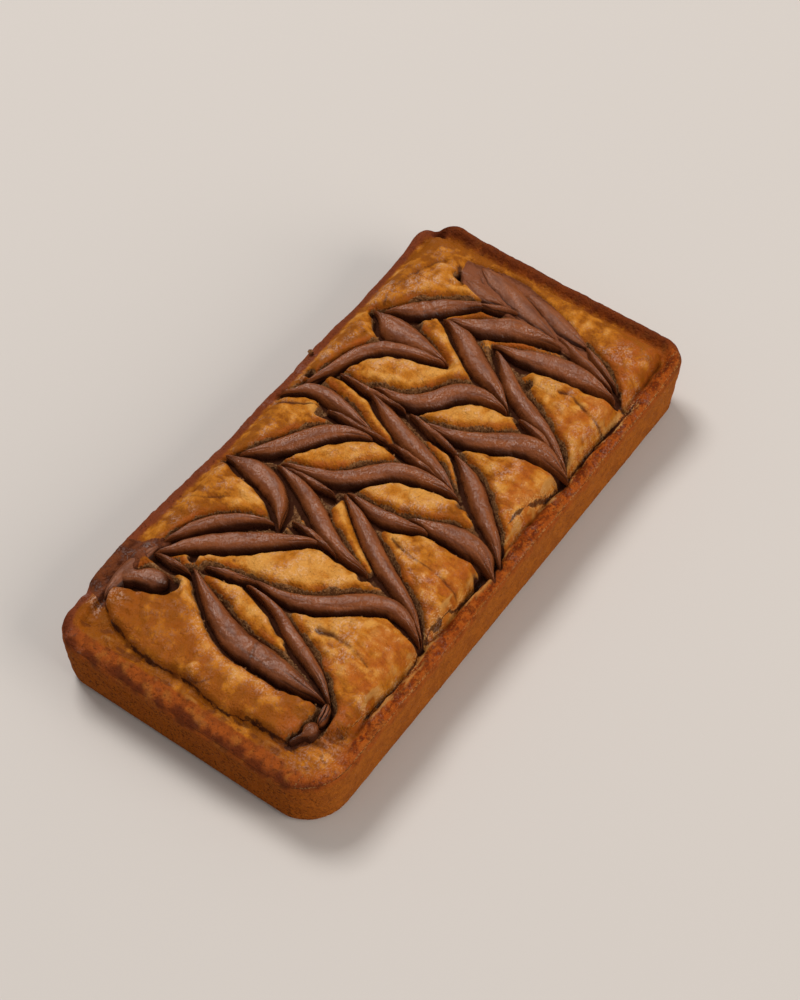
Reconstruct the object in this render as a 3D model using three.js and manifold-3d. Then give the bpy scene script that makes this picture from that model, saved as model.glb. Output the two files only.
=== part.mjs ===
// Banana bread: one uncut loaf with a raised crust rim, and ridges of chocolate
// spread that were dragged through its top with a knife.
//
// Millimetres, +Z up. X runs along the loaf and Y across it. The origin is the
// middle of the flat foot. The loaf is one solid with an open groove for each
// ridge, and each ridge of chocolate is a solid of its own that lies in its groove.

import * as THREE from "three";
import Module from "manifold-3d";

const wasm = await Module();
wasm.setup();

// ---------------------------------------------------------------- driving sizes

const RIM_LENGTH = 255;
const RIM_WIDTH = 128;
const RIM_HEIGHT = 28.5;
const CROWN_HEIGHT = 34;
const CORNER_RADIUS = 13;
const ROUNDEST_CORNER = 19;
const WALL_TAPER = 2.8;
const FOOT_RADIUS = 4;

const RIM_CREST = 3;
const RIM_THICKNESS = 7;
const VALLEY_INSET = 10;
const VALLEY_DEPTH = 3.5;
const LOBES_START = 16;
const SIDE_STEEPNESS = 1.35;
const INNERMOST_INSET = 60;

const LOBE_RISE = 2.5;
const LOBE_DIP = 4;
const LOBE_SHOULDER = 8;

const RIDGE_RISE = 1.6;
const RIDGE_EDGE = -1.6;
const RIDGE_DEPTH = 5.5;
const GROOVE_TOP = 16;
const FIT_GAP = 0.3;

const ARC_STEPS = 3;
const LONG_STEPS = 18;
const SHORT_STEPS = 8;
const LOBE_RINGS = 5;
const RIDGE_STEP = 8;
const SHORTEST_STEPS = 3;

// ---------------------------------------------------------- layout of the ridges

// One pull of the knife: its greatest width, the share of its length at which it is
// widest, and the places it passes through, from the +Y side to the -Y side.
const pull = (width, full, ...route) => ({ width, full, route });

const RIDGES = {
  // Along the +Y side, from the -X end to the +X end.
  smear_left: pull(8, 0.5, [-103, 55], [-94, 55.5], [-84, 55], [-76, 51.5]),
  blob_left: pull(11, 0.5, [-90.5, 50.5], [-87.5, 45], [-87, 37]),
  long_left: pull(9, 0.5, [-76, 48.5], [-66.5, 41], [-58.5, 31], [-50, 20], [-43, 10], [-39.8, 4]),
  thin_left: pull(6.5, 0.5, [-69, 50], [-61, 46.5], [-53.5, 40.5], [-46.5, 32.5], [-42.5, 24]),
  leaf_left: pull(10, 0.4, [-25, 54.5], [-24.8, 44], [-27, 33], [-32.5, 25], [-39.3, 20.5]),
  slant_left: pull(9.5, 0.5, [-20, 51], [-12.5, 44], [-2, 36.5], [6, 31], [10.8, 24], [12.8, 17]),
  hook_left: pull(7, 0.35, [14.5, 57], [20.5, 50], [20.7, 39], [18.5, 28], [15.8, 18]),
  bow_left: pull(6.8, 0.55,
    [24.5, 52.5], [34, 49.3], [44, 46], [51.5, 41], [56.3, 33], [59, 23], [60.2, 15]),
  drop_left: pull(12, 0.22, [67, 50], [65, 43], [64.2, 35], [63.2, 26], [61.4, 14]),
  slant_far: pull(9, 0.4, [71.5, 46.5], [78, 38.5], [85, 31], [91, 23.5], [94.3, 18.5]),
  tail_far: pull(4, 0.5, [95, 16.8], [97.3, 11], [99, 5.5]),
  patch_far: pull(9, 0.4, [102.5, 31], [100.3, 22], [100.2, 12]),
  band_far: pull(11, 0.35, [112.5, 30], [109.5, 19], [105.3, 7], [101, -5], [97.2, -16]),

  // Down the middle.
  leaf_near: pull(11, 0.55, [-77, 31], [-84.5, 17], [-90.8, 2], [-91.8, -16], [-93.3, -38.5]),
  thin_near: pull(5.8, 0.55,
    [-70.3, 9], [-71.8, -3], [-77.8, -15], [-82.7, -27], [-87.5, -37], [-91.5, -42]),
  wave_near: pull(9, 0.55,
    [-67, 9], [-65.8, -4], [-59, -18], [-50.5, -28], [-45.7, -38], [-47, -46], [-51, -53]),
  slant_mid: pull(7.8, 0.45,
    [-19.3, 34], [-21.8, 22], [-27.5, 11], [-33.5, 1], [-37.2, -9], [-39, -19]),
  wave_mid: pull(9, 0.55,
    [-16.3, 33], [-13.3, 22], [-8.7, 12], [0, 4.5], [6.8, -3], [9.8, -13], [9.6, -26]),
  lean_mid: pull(7.8, 0.45, [30, 25.5], [26.7, 16], [22.5, 6], [19, -5], [16, -15], [10.8, -25.5]),
  wave_far: pull(9.8, 0.55,
    [34.8, 26], [35.8, 16], [41.5, 7], [50, 2.5], [55.7, -5], [56.8, -12], [55.5, -18]),
  lean_far: pull(9.5, 0.4, [79, 23.5], [77, 14.5], [70.5, 5.5], [66, -4], [62.3, -12], [57.5, -19]),
  leaf_far: pull(11.5, 0.55,
    [81, 22.5], [84.3, 13.5], [90, 5], [94.7, -3], [96.3, -10.5], [94.8, -18.5]),
  patch_end: pull(10, 0.6, [111.2, 9], [109, -2], [106, -11], [103.3, -20], [101, -28.5]),

  // Along the -Y side, from the -X end to the +X end.
  rope_start: pull(5, 0.6, [-113.5, -40.5], [-108, -43.5], [-102.3, -44.9]),
  rope_end: pull(5, 0.45, [-101.3, -45.2], [-97, -45], [-93.3, -43.3]),
  slant_right: pull(7.5, 0.4,
    [-16.3, 4.5], [-20.3, -4], [-28, -16], [-34.3, -27], [-38.3, -36], [-43, -45], [-48.8, -52.5]),
  short_right: pull(6.8, 0.55, [-14, 3.5], [-14.8, -8], [-13.7, -17], [-11.5, -26.5]),
  leaf_right: pull(10.5, 0.55, [-9.3, -23], [-7, -33], [-5.2, -43], [-5.6, -52], [-10.3, -59]),
  lean_right: pull(8, 0.4, [24, -20], [19, -30], [11, -39.5], [5, -47.5], [0.5, -54], [-4, -58]),
  bow_right: pull(11, 0.6,
    [31.3, -1], [33, -11], [37.5, -22], [43.5, -31], [47.3, -40], [46.5, -49], [44, -55.5]),
  strip_right: pull(4.2, 0.35, [53.8, -31], [52.7, -38], [50, -45], [47.5, -51]),
  long_right: pull(7.5, 0.4,
    [76.5, -3], [71.5, -10.5], [64.5, -19], [60.3, -29], [55.7, -39], [50.7, -48], [46.2, -54.5]),
  leaf_end: pull(10.8, 0.55, [80.3, -1], [81.8, -10], [85, -20], [87, -31], [87, -41], [86, -49.5]),
  strip_end: pull(4.6, 0.4, [97.5, -20.5], [95.2, -29], [92.7, -38], [89.6, -46.5]),
  edge_end: pull(4, 0.35, [99.6, -31.5], [96.7, -38], [92, -47.5]),

  // Thin twisted remains where the knife crossed its own tracks.
  twist_left: pull(4, 0.4, [-78.3, 47], [-78, 42], [-78, 36.5]),
  twist_near: pull(4, 0.5, [-71.7, 27], [-69.5, 19], [-67.7, 11.5]),
  twist_mid: pull(3.6, 0.5, [-18, 31], [-17.5, 22], [-17.3, 13]),
  twist_slant: pull(4, 0.4, [-37, 12.5], [-37.2, 5], [-39, -4]),
  twist_top: pull(3.4, 0.5, [14.3, 34], [15, 24], [15, 11]),
  twist_far: pull(3.4, 0.5, [32, 41], [31.6, 29], [31.8, 14]),
  twist_low: pull(3.2, 0.5, [14.7, 4], [14.3, -6], [13, -15]),
  twist_end: pull(3.8, 0.4, [31, 6], [29.3, -5], [26.3, -16]),
};

// ------------------------------------------------------------------ small helpers

const clamp01 = (value) => Math.min(1, Math.max(0, value));

function smoothstep(start, end, value) {
  const share = clamp01((value - start) / (end - start));
  return share * share * (3 - 2 * share);
}

function bump(x, y, centreX, centreY, reach) {
  const distance = Math.hypot(x - centreX, y - centreY) / reach;
  return Math.exp(-distance * distance);
}

function routeCurve(route) {
  const points = route.map(([x, y]) => new THREE.Vector3(x, y, 0));
  return new THREE.CatmullRomCurve3(points, false, "centripetal");
}

// Half the width of a ridge at a share of its length: pointed at both ends.
function halfWidth(ridge, share) {
  const power = Math.log(0.5) / Math.log(ridge.full);
  const swell = Math.sin(Math.PI * Math.pow(share, power));
  return (ridge.width / 2) * Math.pow(Math.max(swell, 0), 0.7);
}

// ----------------------------------------------------------------- loaf's surface

const ridges = Object.entries(RIDGES).map(([name, ridge]) => {
  const curve = routeCurve(ridge.route);
  const steps = Math.max(Math.round(curve.getLength() / RIDGE_STEP), SHORTEST_STEPS);
  const stations = Array.from({ length: 3 * steps + 1 }, (_, index) => {
    const share = index / (3 * steps);
    const place = curve.getPointAt(share);
    return { x: place.x, y: place.y, half: halfWidth(ridge, share) };
  });
  return { name, curve, steps, stations, ...ridge };
});

// Distance from a point of the top to the edge of the nearest ridge.
function ridgeDistance(x, y) {
  let nearest = Infinity;
  for (const { stations } of ridges) {
    for (const station of stations) {
      const distance = Math.hypot(x - station.x, y - station.y) - station.half;
      nearest = Math.min(nearest, distance);
    }
  }
  return nearest;
}

// Level of the smooth crown that lobes and ridges rise from: flat in the middle,
// falling off towards the rim.
function crownLevel(x, y) {
  const across = 1 - Math.pow(Math.abs(y) / (RIM_WIDTH / 2), 8);
  const along = 1 - Math.pow(Math.abs(x) / (RIM_LENGTH / 2), 10);
  const foot = RIM_HEIGHT - VALLEY_DEPTH;
  return foot + (CROWN_HEIGHT - foot) * Math.max(across, 0) * Math.max(along, 0);
}

// Height of the rim's crest, uneven as it baked and lowest where it broke.
function rimLevel(x, y) {
  const waves = 0.5 * Math.sin(x / 17 + 1) + 0.4 * Math.sin(x / 7.3 - y / 11);
  const farEnd = 2.2 * smoothstep(90, 122, x);
  const breakFar = 5 * bump(x, y, 117, 58, 6);
  const breakNear = 2.5 * bump(x, y, -104, 62, 5);
  return RIM_HEIGHT + waves + farEnd - breakFar - breakNear;
}

// Height of the baked top: rim, valley inside it, then lobes between the ridges.
// The rim and the valley are narrower along the sides than at the ends.
function topLevel(x, y) {
  const fromSide = (RIM_WIDTH / 2 - Math.abs(y)) * SIDE_STEEPNESS;
  const inset = Math.min(RIM_LENGTH / 2 - Math.abs(x), fromSide);
  const lobe = smoothstep(-1, LOBE_SHOULDER, ridgeDistance(x, y));
  const lobed = crownLevel(x, y) - LOBE_DIP + (LOBE_DIP + LOBE_RISE) * lobe;
  const valley = crownLevel(x, y) - VALLEY_DEPTH;
  const baked = THREE.MathUtils.lerp(valley, lobed, smoothstep(VALLEY_INSET, LOBES_START, inset));
  const rim = 1 - smoothstep(RIM_CREST, VALLEY_INSET, inset);
  return THREE.MathUtils.lerp(baked, rimLevel(x, y), rim);
}

// ------------------------------------------------------------- loaf as a closed mesh

// One ring of points round the loaf, at an inset from the outline of the rim. It
// starts in the middle of the +X end, and both halves hold as many points.
function outlineRing(inset) {
  const halfX = RIM_LENGTH / 2 - inset;
  const halfY = RIM_WIDTH / 2 - inset;
  const radius = Math.max(CORNER_RADIUS - inset, 2);
  const round = Math.max(ROUNDEST_CORNER - inset, 2);
  const ring = [];
  const side = (fromX, fromY, toX, toY, steps) => {
    for (let step = 0; step < steps; step += 1) {
      const share = step / steps;
      ring.push([fromX + (toX - fromX) * share, fromY + (toY - fromY) * share]);
    }
  };
  const corner = (centreX, centreY, bend, startAngle) => {
    for (let step = 0; step < ARC_STEPS; step += 1) {
      const angle = startAngle + (step / ARC_STEPS) * (Math.PI / 2);
      ring.push([centreX + bend * Math.cos(angle), centreY + bend * Math.sin(angle)]);
    }
  };
  side(halfX, 0, halfX, halfY - radius, SHORT_STEPS / 2);
  corner(halfX - radius, halfY - radius, radius, 0);
  side(halfX - radius, halfY, radius - halfX, halfY, LONG_STEPS);
  corner(radius - halfX, halfY - radius, radius, Math.PI / 2);
  side(-halfX, halfY - radius, -halfX, round - halfY, SHORT_STEPS);
  corner(round - halfX, round - halfY, round, Math.PI);
  side(round - halfX, -halfY, halfX - radius, -halfY, LONG_STEPS);
  corner(halfX - radius, radius - halfY, radius, -Math.PI / 2);
  side(halfX, radius - halfY, halfX, 0, SHORT_STEPS / 2);
  return ring;
}

// Small swellings and hollows of the wall, as a dough's skin has.
function wallWaver(x, y) {
  return 0.5 * Math.sin(x / 13 + y / 19) + 0.35 * Math.sin(x / 6.1 - y / 8.3);
}

function wallRing(inset, height) {
  return outlineRing(inset).map(([x, y]) => {
    const length = Math.hypot(x, y);
    const scale = 1 - (Math.abs(wallWaver(x, y)) * clamp01(height / RIM_HEIGHT)) / length;
    return new THREE.Vector3(x * scale, y * scale, height);
  });
}

function topRing(inset) {
  return outlineRing(inset).map(([x, y]) => new THREE.Vector3(x, y, topLevel(x, y)));
}

function loafRings() {
  const rise = RIM_HEIGHT - FOOT_RADIUS;
  const wall = [
    wallRing(WALL_TAPER + FOOT_RADIUS, 0),
    wallRing(WALL_TAPER + FOOT_RADIUS * 0.3, FOOT_RADIUS * 0.3),
    wallRing(WALL_TAPER, FOOT_RADIUS),
    wallRing(WALL_TAPER * 0.5, FOOT_RADIUS + rise * 0.45),
    wallRing(0, RIM_HEIGHT - RIM_CREST),
  ];
  const top = [RIM_CREST * 0.4, RIM_CREST, RIM_THICKNESS, VALLEY_INSET, LOBES_START];
  for (let ring = 1; ring <= LOBE_RINGS; ring += 1) {
    top.push(THREE.MathUtils.lerp(LOBES_START, INNERMOST_INSET, ring / LOBE_RINGS));
  }
  return [...wall, ...top.map(topRing)];
}

// Faces between rings that hold the same number of points, each ring anticlockwise
// as seen from the ring after it.
function sideFaces(rings) {
  const count = rings[0].length;
  const faces = [];
  for (let row = 0; row < rings.length - 1; row += 1) {
    for (let index = 0; index < count; index += 1) {
      const next = (index + 1) % count;
      const low = row * count;
      const high = low + count;
      faces.push([low + index, low + next, high + next]);
      faces.push([low + index, high + next, high + index]);
    }
  }
  return faces;
}

// The loaf's mesh: its foot is closed round the middle, and its innermost ring, a
// long slot, from side to side.
function loafMesh() {
  const rings = loafRings();
  const count = rings[0].length;
  const points = rings.flat();
  const faces = sideFaces(rings);
  const middle = points.push(new THREE.Vector3(0, 0, 0)) - 1;
  for (let index = 0; index < count; index += 1) {
    faces.push([middle, (index + 1) % count, index]);
  }
  const last = (rings.length - 1) * count;
  for (let index = 0; index < count / 2; index += 1) {
    const across = last + ((count - index) % count);
    const next = last + count - index - 1;
    if (next !== last + index + 1) faces.push([last + index, last + index + 1, next]);
    if (across !== last + index) faces.push([last + index, next, across]);
  }
  return { points, faces };
}

// ---------------------------------------------------------------- ridges as meshes

// Outline of a ridge's section, seen along the pull: across, then up. A rounded
// back, an edge below the skin of the loaf, and a keel in the groove.
function ridgeSection(half) {
  return [
    [-half, RIDGE_EDGE],
    [0, -RIDGE_DEPTH],
    [half, RIDGE_EDGE],
    [half * 0.6, RIDGE_RISE * 0.55],
    [0, RIDGE_RISE],
    [-half * 0.6, RIDGE_RISE * 0.55],
  ];
}

// The groove that a ridge lies in: wider by the gap and open to the top.
function grooveSection(half) {
  const wide = half + FIT_GAP;
  return [
    [-wide, RIDGE_EDGE - FIT_GAP],
    [0, -RIDGE_DEPTH - 2 * FIT_GAP],
    [wide, RIDGE_EDGE - FIT_GAP],
    [wide, GROOVE_TOP],
    [-wide, GROOVE_TOP],
  ];
}

// Lofts a section along a ridge's route, with both ends closed by a fan.
function loftAlong(ridge, section, extra) {
  const rings = [];
  for (let step = 0; step <= ridge.steps; step += 1) {
    const share = step / ridge.steps;
    const place = ridge.curve.getPointAt(share);
    const along = ridge.curve.getTangentAt(share);
    const end = step === 0 ? -1 : Number(step === ridge.steps);
    const x = place.x + along.x * end * extra;
    const y = place.y + along.y * end * extra;
    const level = crownLevel(place.x, place.y);
    const half = Math.max(halfWidth(ridge, share), 0.5);
    rings.push(section(half).map(([across, up]) => (
      new THREE.Vector3(x - along.y * across, y + along.x * across, level + up)
    )));
  }
  const count = rings[0].length;
  const last = ridge.steps * count;
  const faces = sideFaces(rings);
  for (let index = 1; index < count - 1; index += 1) {
    faces.push([0, index + 1, index]);
    faces.push([last, last + index, last + index + 1]);
  }
  return { points: rings.flat(), faces };
}

// --------------------------------------------------------------- solids and cutting

function solid({ points, faces }) {
  const vertProperties = new Float32Array(points.flatMap((point) => point.toArray()));
  const mesh = new wasm.Mesh({ numProp: 3, vertProperties, triVerts: new Uint32Array(faces.flat()) });
  return new wasm.Manifold(mesh);
}

function largestPiece(body) {
  const pieces = body.decompose();
  return pieces.reduce((best, piece) => (piece.volume() > best.volume() ? piece : best));
}

function toMesh(name, body, finish) {
  const { vertProperties, triVerts } = body.getMesh();
  const geometry = new THREE.BufferGeometry();
  geometry.setAttribute("position", new THREE.BufferAttribute(vertProperties, 3));
  geometry.setIndex(new THREE.BufferAttribute(triVerts, 1));
  geometry.computeVertexNormals();
  const mesh = new THREE.Mesh(geometry, new THREE.MeshStandardMaterial(finish));
  mesh.name = name;
  return mesh;
}

const CRUST = { color: 0xa8642a, roughness: 0.62, metalness: 0 };
const CHOCOLATE = { color: 0x5a3426, roughness: 0.42, metalness: 0 };

function buildLoaf(grooves) {
  const whole = solid(loafMesh());
  return largestPiece(grooves.reduce((body, groove) => body.subtract(groove), whole));
}

// Each ridge gives way to the ones before it, so that none overlap.
function buildRidges(grooves) {
  return ridges.map((ridge, index) => {
    const whole = solid(loftAlong(ridge, ridgeSection, 0));
    const cut = grooves.slice(0, index).reduce((body, groove) => body.subtract(groove), whole);
    return toMesh(ridge.name, largestPiece(cut), CHOCOLATE);
  });
}

const grooves = ridges.map((ridge) => solid(loftAlong(ridge, grooveSection, FIT_GAP)));
const bread = new THREE.Group();
bread.add(toMesh("loaf", buildLoaf(grooves), CRUST));
bread.add(...buildRidges(grooves));

// The wall's waver leaves the foot a little off centre: the whole is set over it.
const extent = new THREE.Box3().setFromObject(bread);
const middle = extent.getCenter(new THREE.Vector3());
bread.position.set(-middle.x, -middle.y, -extent.min.z);

export default bread;
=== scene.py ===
"""The looks of a banana bread: a baked loaf with ridges of chocolate spread in its top.

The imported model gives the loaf's size and the course of every ridge. Shapes are worked
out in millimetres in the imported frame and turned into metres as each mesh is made.
"""

import logging
import math
from dataclasses import dataclass, field
from enum import Enum

import bpy
import numpy as np
from mathutils import Matrix, Vector


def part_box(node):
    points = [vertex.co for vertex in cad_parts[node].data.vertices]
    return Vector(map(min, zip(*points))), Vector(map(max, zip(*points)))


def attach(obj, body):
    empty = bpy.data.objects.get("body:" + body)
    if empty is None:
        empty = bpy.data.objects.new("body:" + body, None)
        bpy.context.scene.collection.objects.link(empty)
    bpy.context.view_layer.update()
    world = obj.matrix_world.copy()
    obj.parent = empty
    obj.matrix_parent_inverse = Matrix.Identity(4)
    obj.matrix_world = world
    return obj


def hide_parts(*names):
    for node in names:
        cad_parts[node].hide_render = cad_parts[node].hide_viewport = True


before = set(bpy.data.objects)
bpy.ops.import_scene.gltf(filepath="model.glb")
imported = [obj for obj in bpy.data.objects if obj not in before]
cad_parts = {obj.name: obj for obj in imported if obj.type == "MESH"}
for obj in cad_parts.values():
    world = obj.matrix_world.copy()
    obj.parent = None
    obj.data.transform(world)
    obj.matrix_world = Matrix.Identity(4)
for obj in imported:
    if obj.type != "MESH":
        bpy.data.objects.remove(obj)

MM = 0.001
CURVE_STEP = 1.5
TINY = 1e-6
Array = np.ndarray

# The skin slopes down to a ridge on this side of it, and a trench lies open on the other. This way
# points away from the camera, and painted shade is laid on the ridges' flanks that face the other
# way.
SLOPING_SIDE = np.array([0.8, 0.6])

log = logging.getLogger("banana_bread")


# ------------------------------------------------------------------ shapes in numbers


def rise(start: float | Array, end: float | Array, value: Array) -> Array:
    """A smooth step.

    Args:
        start: Where the step begins.
        end: Where it is complete. It may be below start, for a step that falls.
        value: What is stepped.

    Returns:
        0 before start, 1 past end, and a soft S in between.
    """
    share = np.clip((value - start) / (end - start), 0.0, 1.0)
    return share * share * (3.0 - 2.0 * share)


def between(low: float | Array, high: float | Array, share: Array) -> Array:
    """Goes from low to high as share goes from 0 to 1."""
    return low + (high - low) * share


def swell(share: float | Array) -> Array:
    """A quarter circle: steep at 0 and level at 1, as the shoulder of a lobe."""
    left = 1.0 - np.clip(share, 0.0, 1.0)
    return np.sqrt(1.0 - left * left)


def spot(x: Array, y: Array, place: tuple[float, float], reach: float) -> Array:
    """A round soft spot, 1 at its middle and fading over its reach."""
    return np.exp(-((x - place[0]) ** 2 + (y - place[1]) ** 2) / reach**2)


def bell(distance: Array, width: float) -> Array:
    """How near points are to a line: 1 on it, fading over its width."""
    return np.exp(-((distance / width) ** 2))


def floor_points(x: Array, y: Array) -> Array:
    """Points on the floor, one a row."""
    return np.stack([x, y, np.zeros_like(x)], 1)


class Grain:
    """Seeded gradient noise in space, the same on every run.

    A number that is added to the places takes another part of it, so that two noises
    don't match.
    """

    SPAN = 256
    CORNERS = [(i, j, k) for i in (0, 1) for j in (0, 1) for k in (0, 1)]
    GAIN = 1.6
    LAYER_SHIFT = 37.0

    def __init__(self, seed: int) -> None:
        """Draws the noise's slopes.

        Args:
            seed: Which noise of many this is.
        """
        draw = np.random.default_rng(seed)
        self.order = draw.permutation(self.SPAN)
        slopes = draw.normal(size=(self.SPAN, 3))
        self.slopes = slopes / np.linalg.norm(slopes, axis=1)[:, None]

    def _slope(self, cell: Array) -> Array:
        """Looks slopes up.

        Args:
            cell: Whole-number places, one a row.

        Returns:
            The slope at each place.
        """
        key = self.order[cell[:, 2] % self.SPAN]
        key = self.order[(cell[:, 1] + key) % self.SPAN]
        return self.slopes[self.order[(cell[:, 0] + key) % self.SPAN]]

    def at(self, places: Array, size: float) -> Array:
        """One layer of noise.

        Args:
            places: Points, one a row.
            size: How far apart its hills are.

        Returns:
            A value for each point, mostly between -1 and 1.
        """
        scaled = places / size
        cell = np.floor(scaled).astype(int)
        inside = scaled - cell
        fade = inside**3 * (inside * (inside * 6.0 - 15.0) + 10.0)
        total = np.zeros(len(places))
        for corner in self.CORNERS:
            offset = np.array(corner)
            weight = np.prod(np.where(offset, fade, 1.0 - fade), axis=1)
            total += weight * np.sum(self._slope(cell + offset) * (inside - offset), axis=1)
        return total * self.GAIN

    def layered(self, places: Array, size: float, layers: int) -> Array:
        """Several layers of noise, each half as large and half as strong.

        Args:
            places: Points, one a row.
            size: How far apart the hills of the first layer are.
            layers: How many layers there are.

        Returns:
            A value for each point, mostly between -1 and 1.
        """
        total = np.zeros(len(places))
        for layer in range(layers):
            total += self.at(places + self.LAYER_SHIFT * layer, size / 2**layer) / 2**layer
        return total


def beside(x: Array, y: Array, start: Array, end: Array) -> tuple[Array, Array, Array]:
    """Measures points against one straight piece of a line.

    Args:
        x: The points' places along the loaf.
        y: The points' places across it.
        start: Where the piece starts.
        end: Where it ends.

    Returns:
        How far along the piece each point's nearest place is, from 0 to 1, and how far
        the point is from there along the loaf and across it.
    """
    step = end - start
    share = ((x - start[0]) * step[0] + (y - start[1]) * step[1]) / (step @ step)
    share = np.clip(share, 0.0, 1.0)
    return share, x - start[0] - share * step[0], y - start[1] - share * step[1]


@dataclass(frozen=True)
class Line:
    """A smooth line on the top of the loaf, by the knots that it passes through."""

    knots: tuple[tuple[float, float], ...]
    width: float

    def distance(self, x: Array, y: Array) -> tuple[Array, Array]:
        """How far points are from the line.

        Args:
            x: The points' places along the loaf.
            y: The points' places across it.

        Returns:
            The distance, and which side it is on: 1 to the left of the line's course.
        """
        nearest = np.full(x.shape, np.inf)
        side = np.ones(x.shape)
        curve = smooth_line(np.array(self.knots, float), CURVE_STEP)
        for start, end in zip(curve[:-1], curve[1:]):
            _, away_x, away_y = beside(x, y, start, end)
            distance = np.hypot(away_x, away_y)
            closer = distance < nearest
            nearest = np.where(closer, distance, nearest)
            step = end - start
            side = np.where(closer, np.sign(step[0] * away_y - step[1] * away_x), side)
        return nearest, side


@dataclass(frozen=True)
class Fold(Line):
    """A line that is pressed into the top, such as a crack, a crease or a wrinkle.

    dark says how much painted shade lies in it, from 0 to 1, and lift how far the
    skin stands up on the left of its course.
    """

    depth: float
    dark: float = 0.0
    lift: float = 0.0


@dataclass(frozen=True)
class Spread:
    """A long patch on the top: a spine whose knots are (x, y, half width)."""

    knots: tuple[tuple[float, float, float], ...]

    def depth(self, x: Array, y: Array) -> Array:
        """How far inside the patch points are.

        Args:
            x: The points' places along the loaf.
            y: The points' places across it.

        Returns:
            The depth, less than 0 outside the patch.
        """
        inside = np.full(x.shape, -np.inf)
        curve = smooth_line(np.array(self.knots, float), CURVE_STEP)
        for start, end in zip(curve[:-1], curve[1:]):
            share, away_x, away_y = beside(x, y, start[:2], end[:2])
            half = between(start[2], end[2], share)
            inside = np.maximum(inside, half - np.hypot(away_x, away_y))
        return inside


def smooth_line(knots: Array, step: float) -> Array:
    """A smooth curve through knots.

    Args:
        knots: The places that it passes through, one a row.
        step: About how far apart its points are.

    Returns:
        Points along the curve, one a row.
    """
    padded = np.vstack([2 * knots[0] - knots[1], knots, 2 * knots[-1] - knots[-2]])
    points = [knots[0]]
    for a, b, c, d in zip(padded[:-3], padded[1:-2], padded[2:-1], padded[3:]):
        count = max(int(np.linalg.norm(c - b) / step), 1)
        for index in range(1, count + 1):
            t = index / count
            points.append(
                0.5 * (2 * b + (c - a) * t + (2 * a - 5 * b + 4 * c - d) * t**2
                       + (3 * b - a - 3 * c + d) * t**3)
            )
    return np.array(points)


def evened(values: Array, rounds: int) -> Array:
    """Smooths a row of values and leaves both ends where they are.

    Args:
        values: One value, or one point, a row.
        rounds: How often each row is averaged with its neighbours.

    Returns:
        The smoothed rows.
    """
    values = values.copy()
    for _ in range(rounds):
        values[1:-1] = (values[:-2] + 2.0 * values[1:-1] + values[2:]) / 4.0
    return values


# ------------------------------------------------------------ the courses of the ridges


class Lay(Enum):
    """How a pull of chocolate lies, with the first words that its nodes' names have."""

    RIB = ""
    PATCH = "patch band"
    SMEAR = "smear"
    BLOB = "blob"
    ROPE = "rope"
    TWIST = "twist"

    @property
    def flat(self) -> bool:
        """Whether it lies flat on the crust."""
        return self in (Lay.PATCH, Lay.SMEAR)

    @classmethod
    def of_node(cls, name: str) -> "Lay":
        """Finds the lay that a node's name says."""
        word = name.split("_")[0]
        return next((lay for lay in cls if word in lay.value.split()), cls.RIB)


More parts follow.
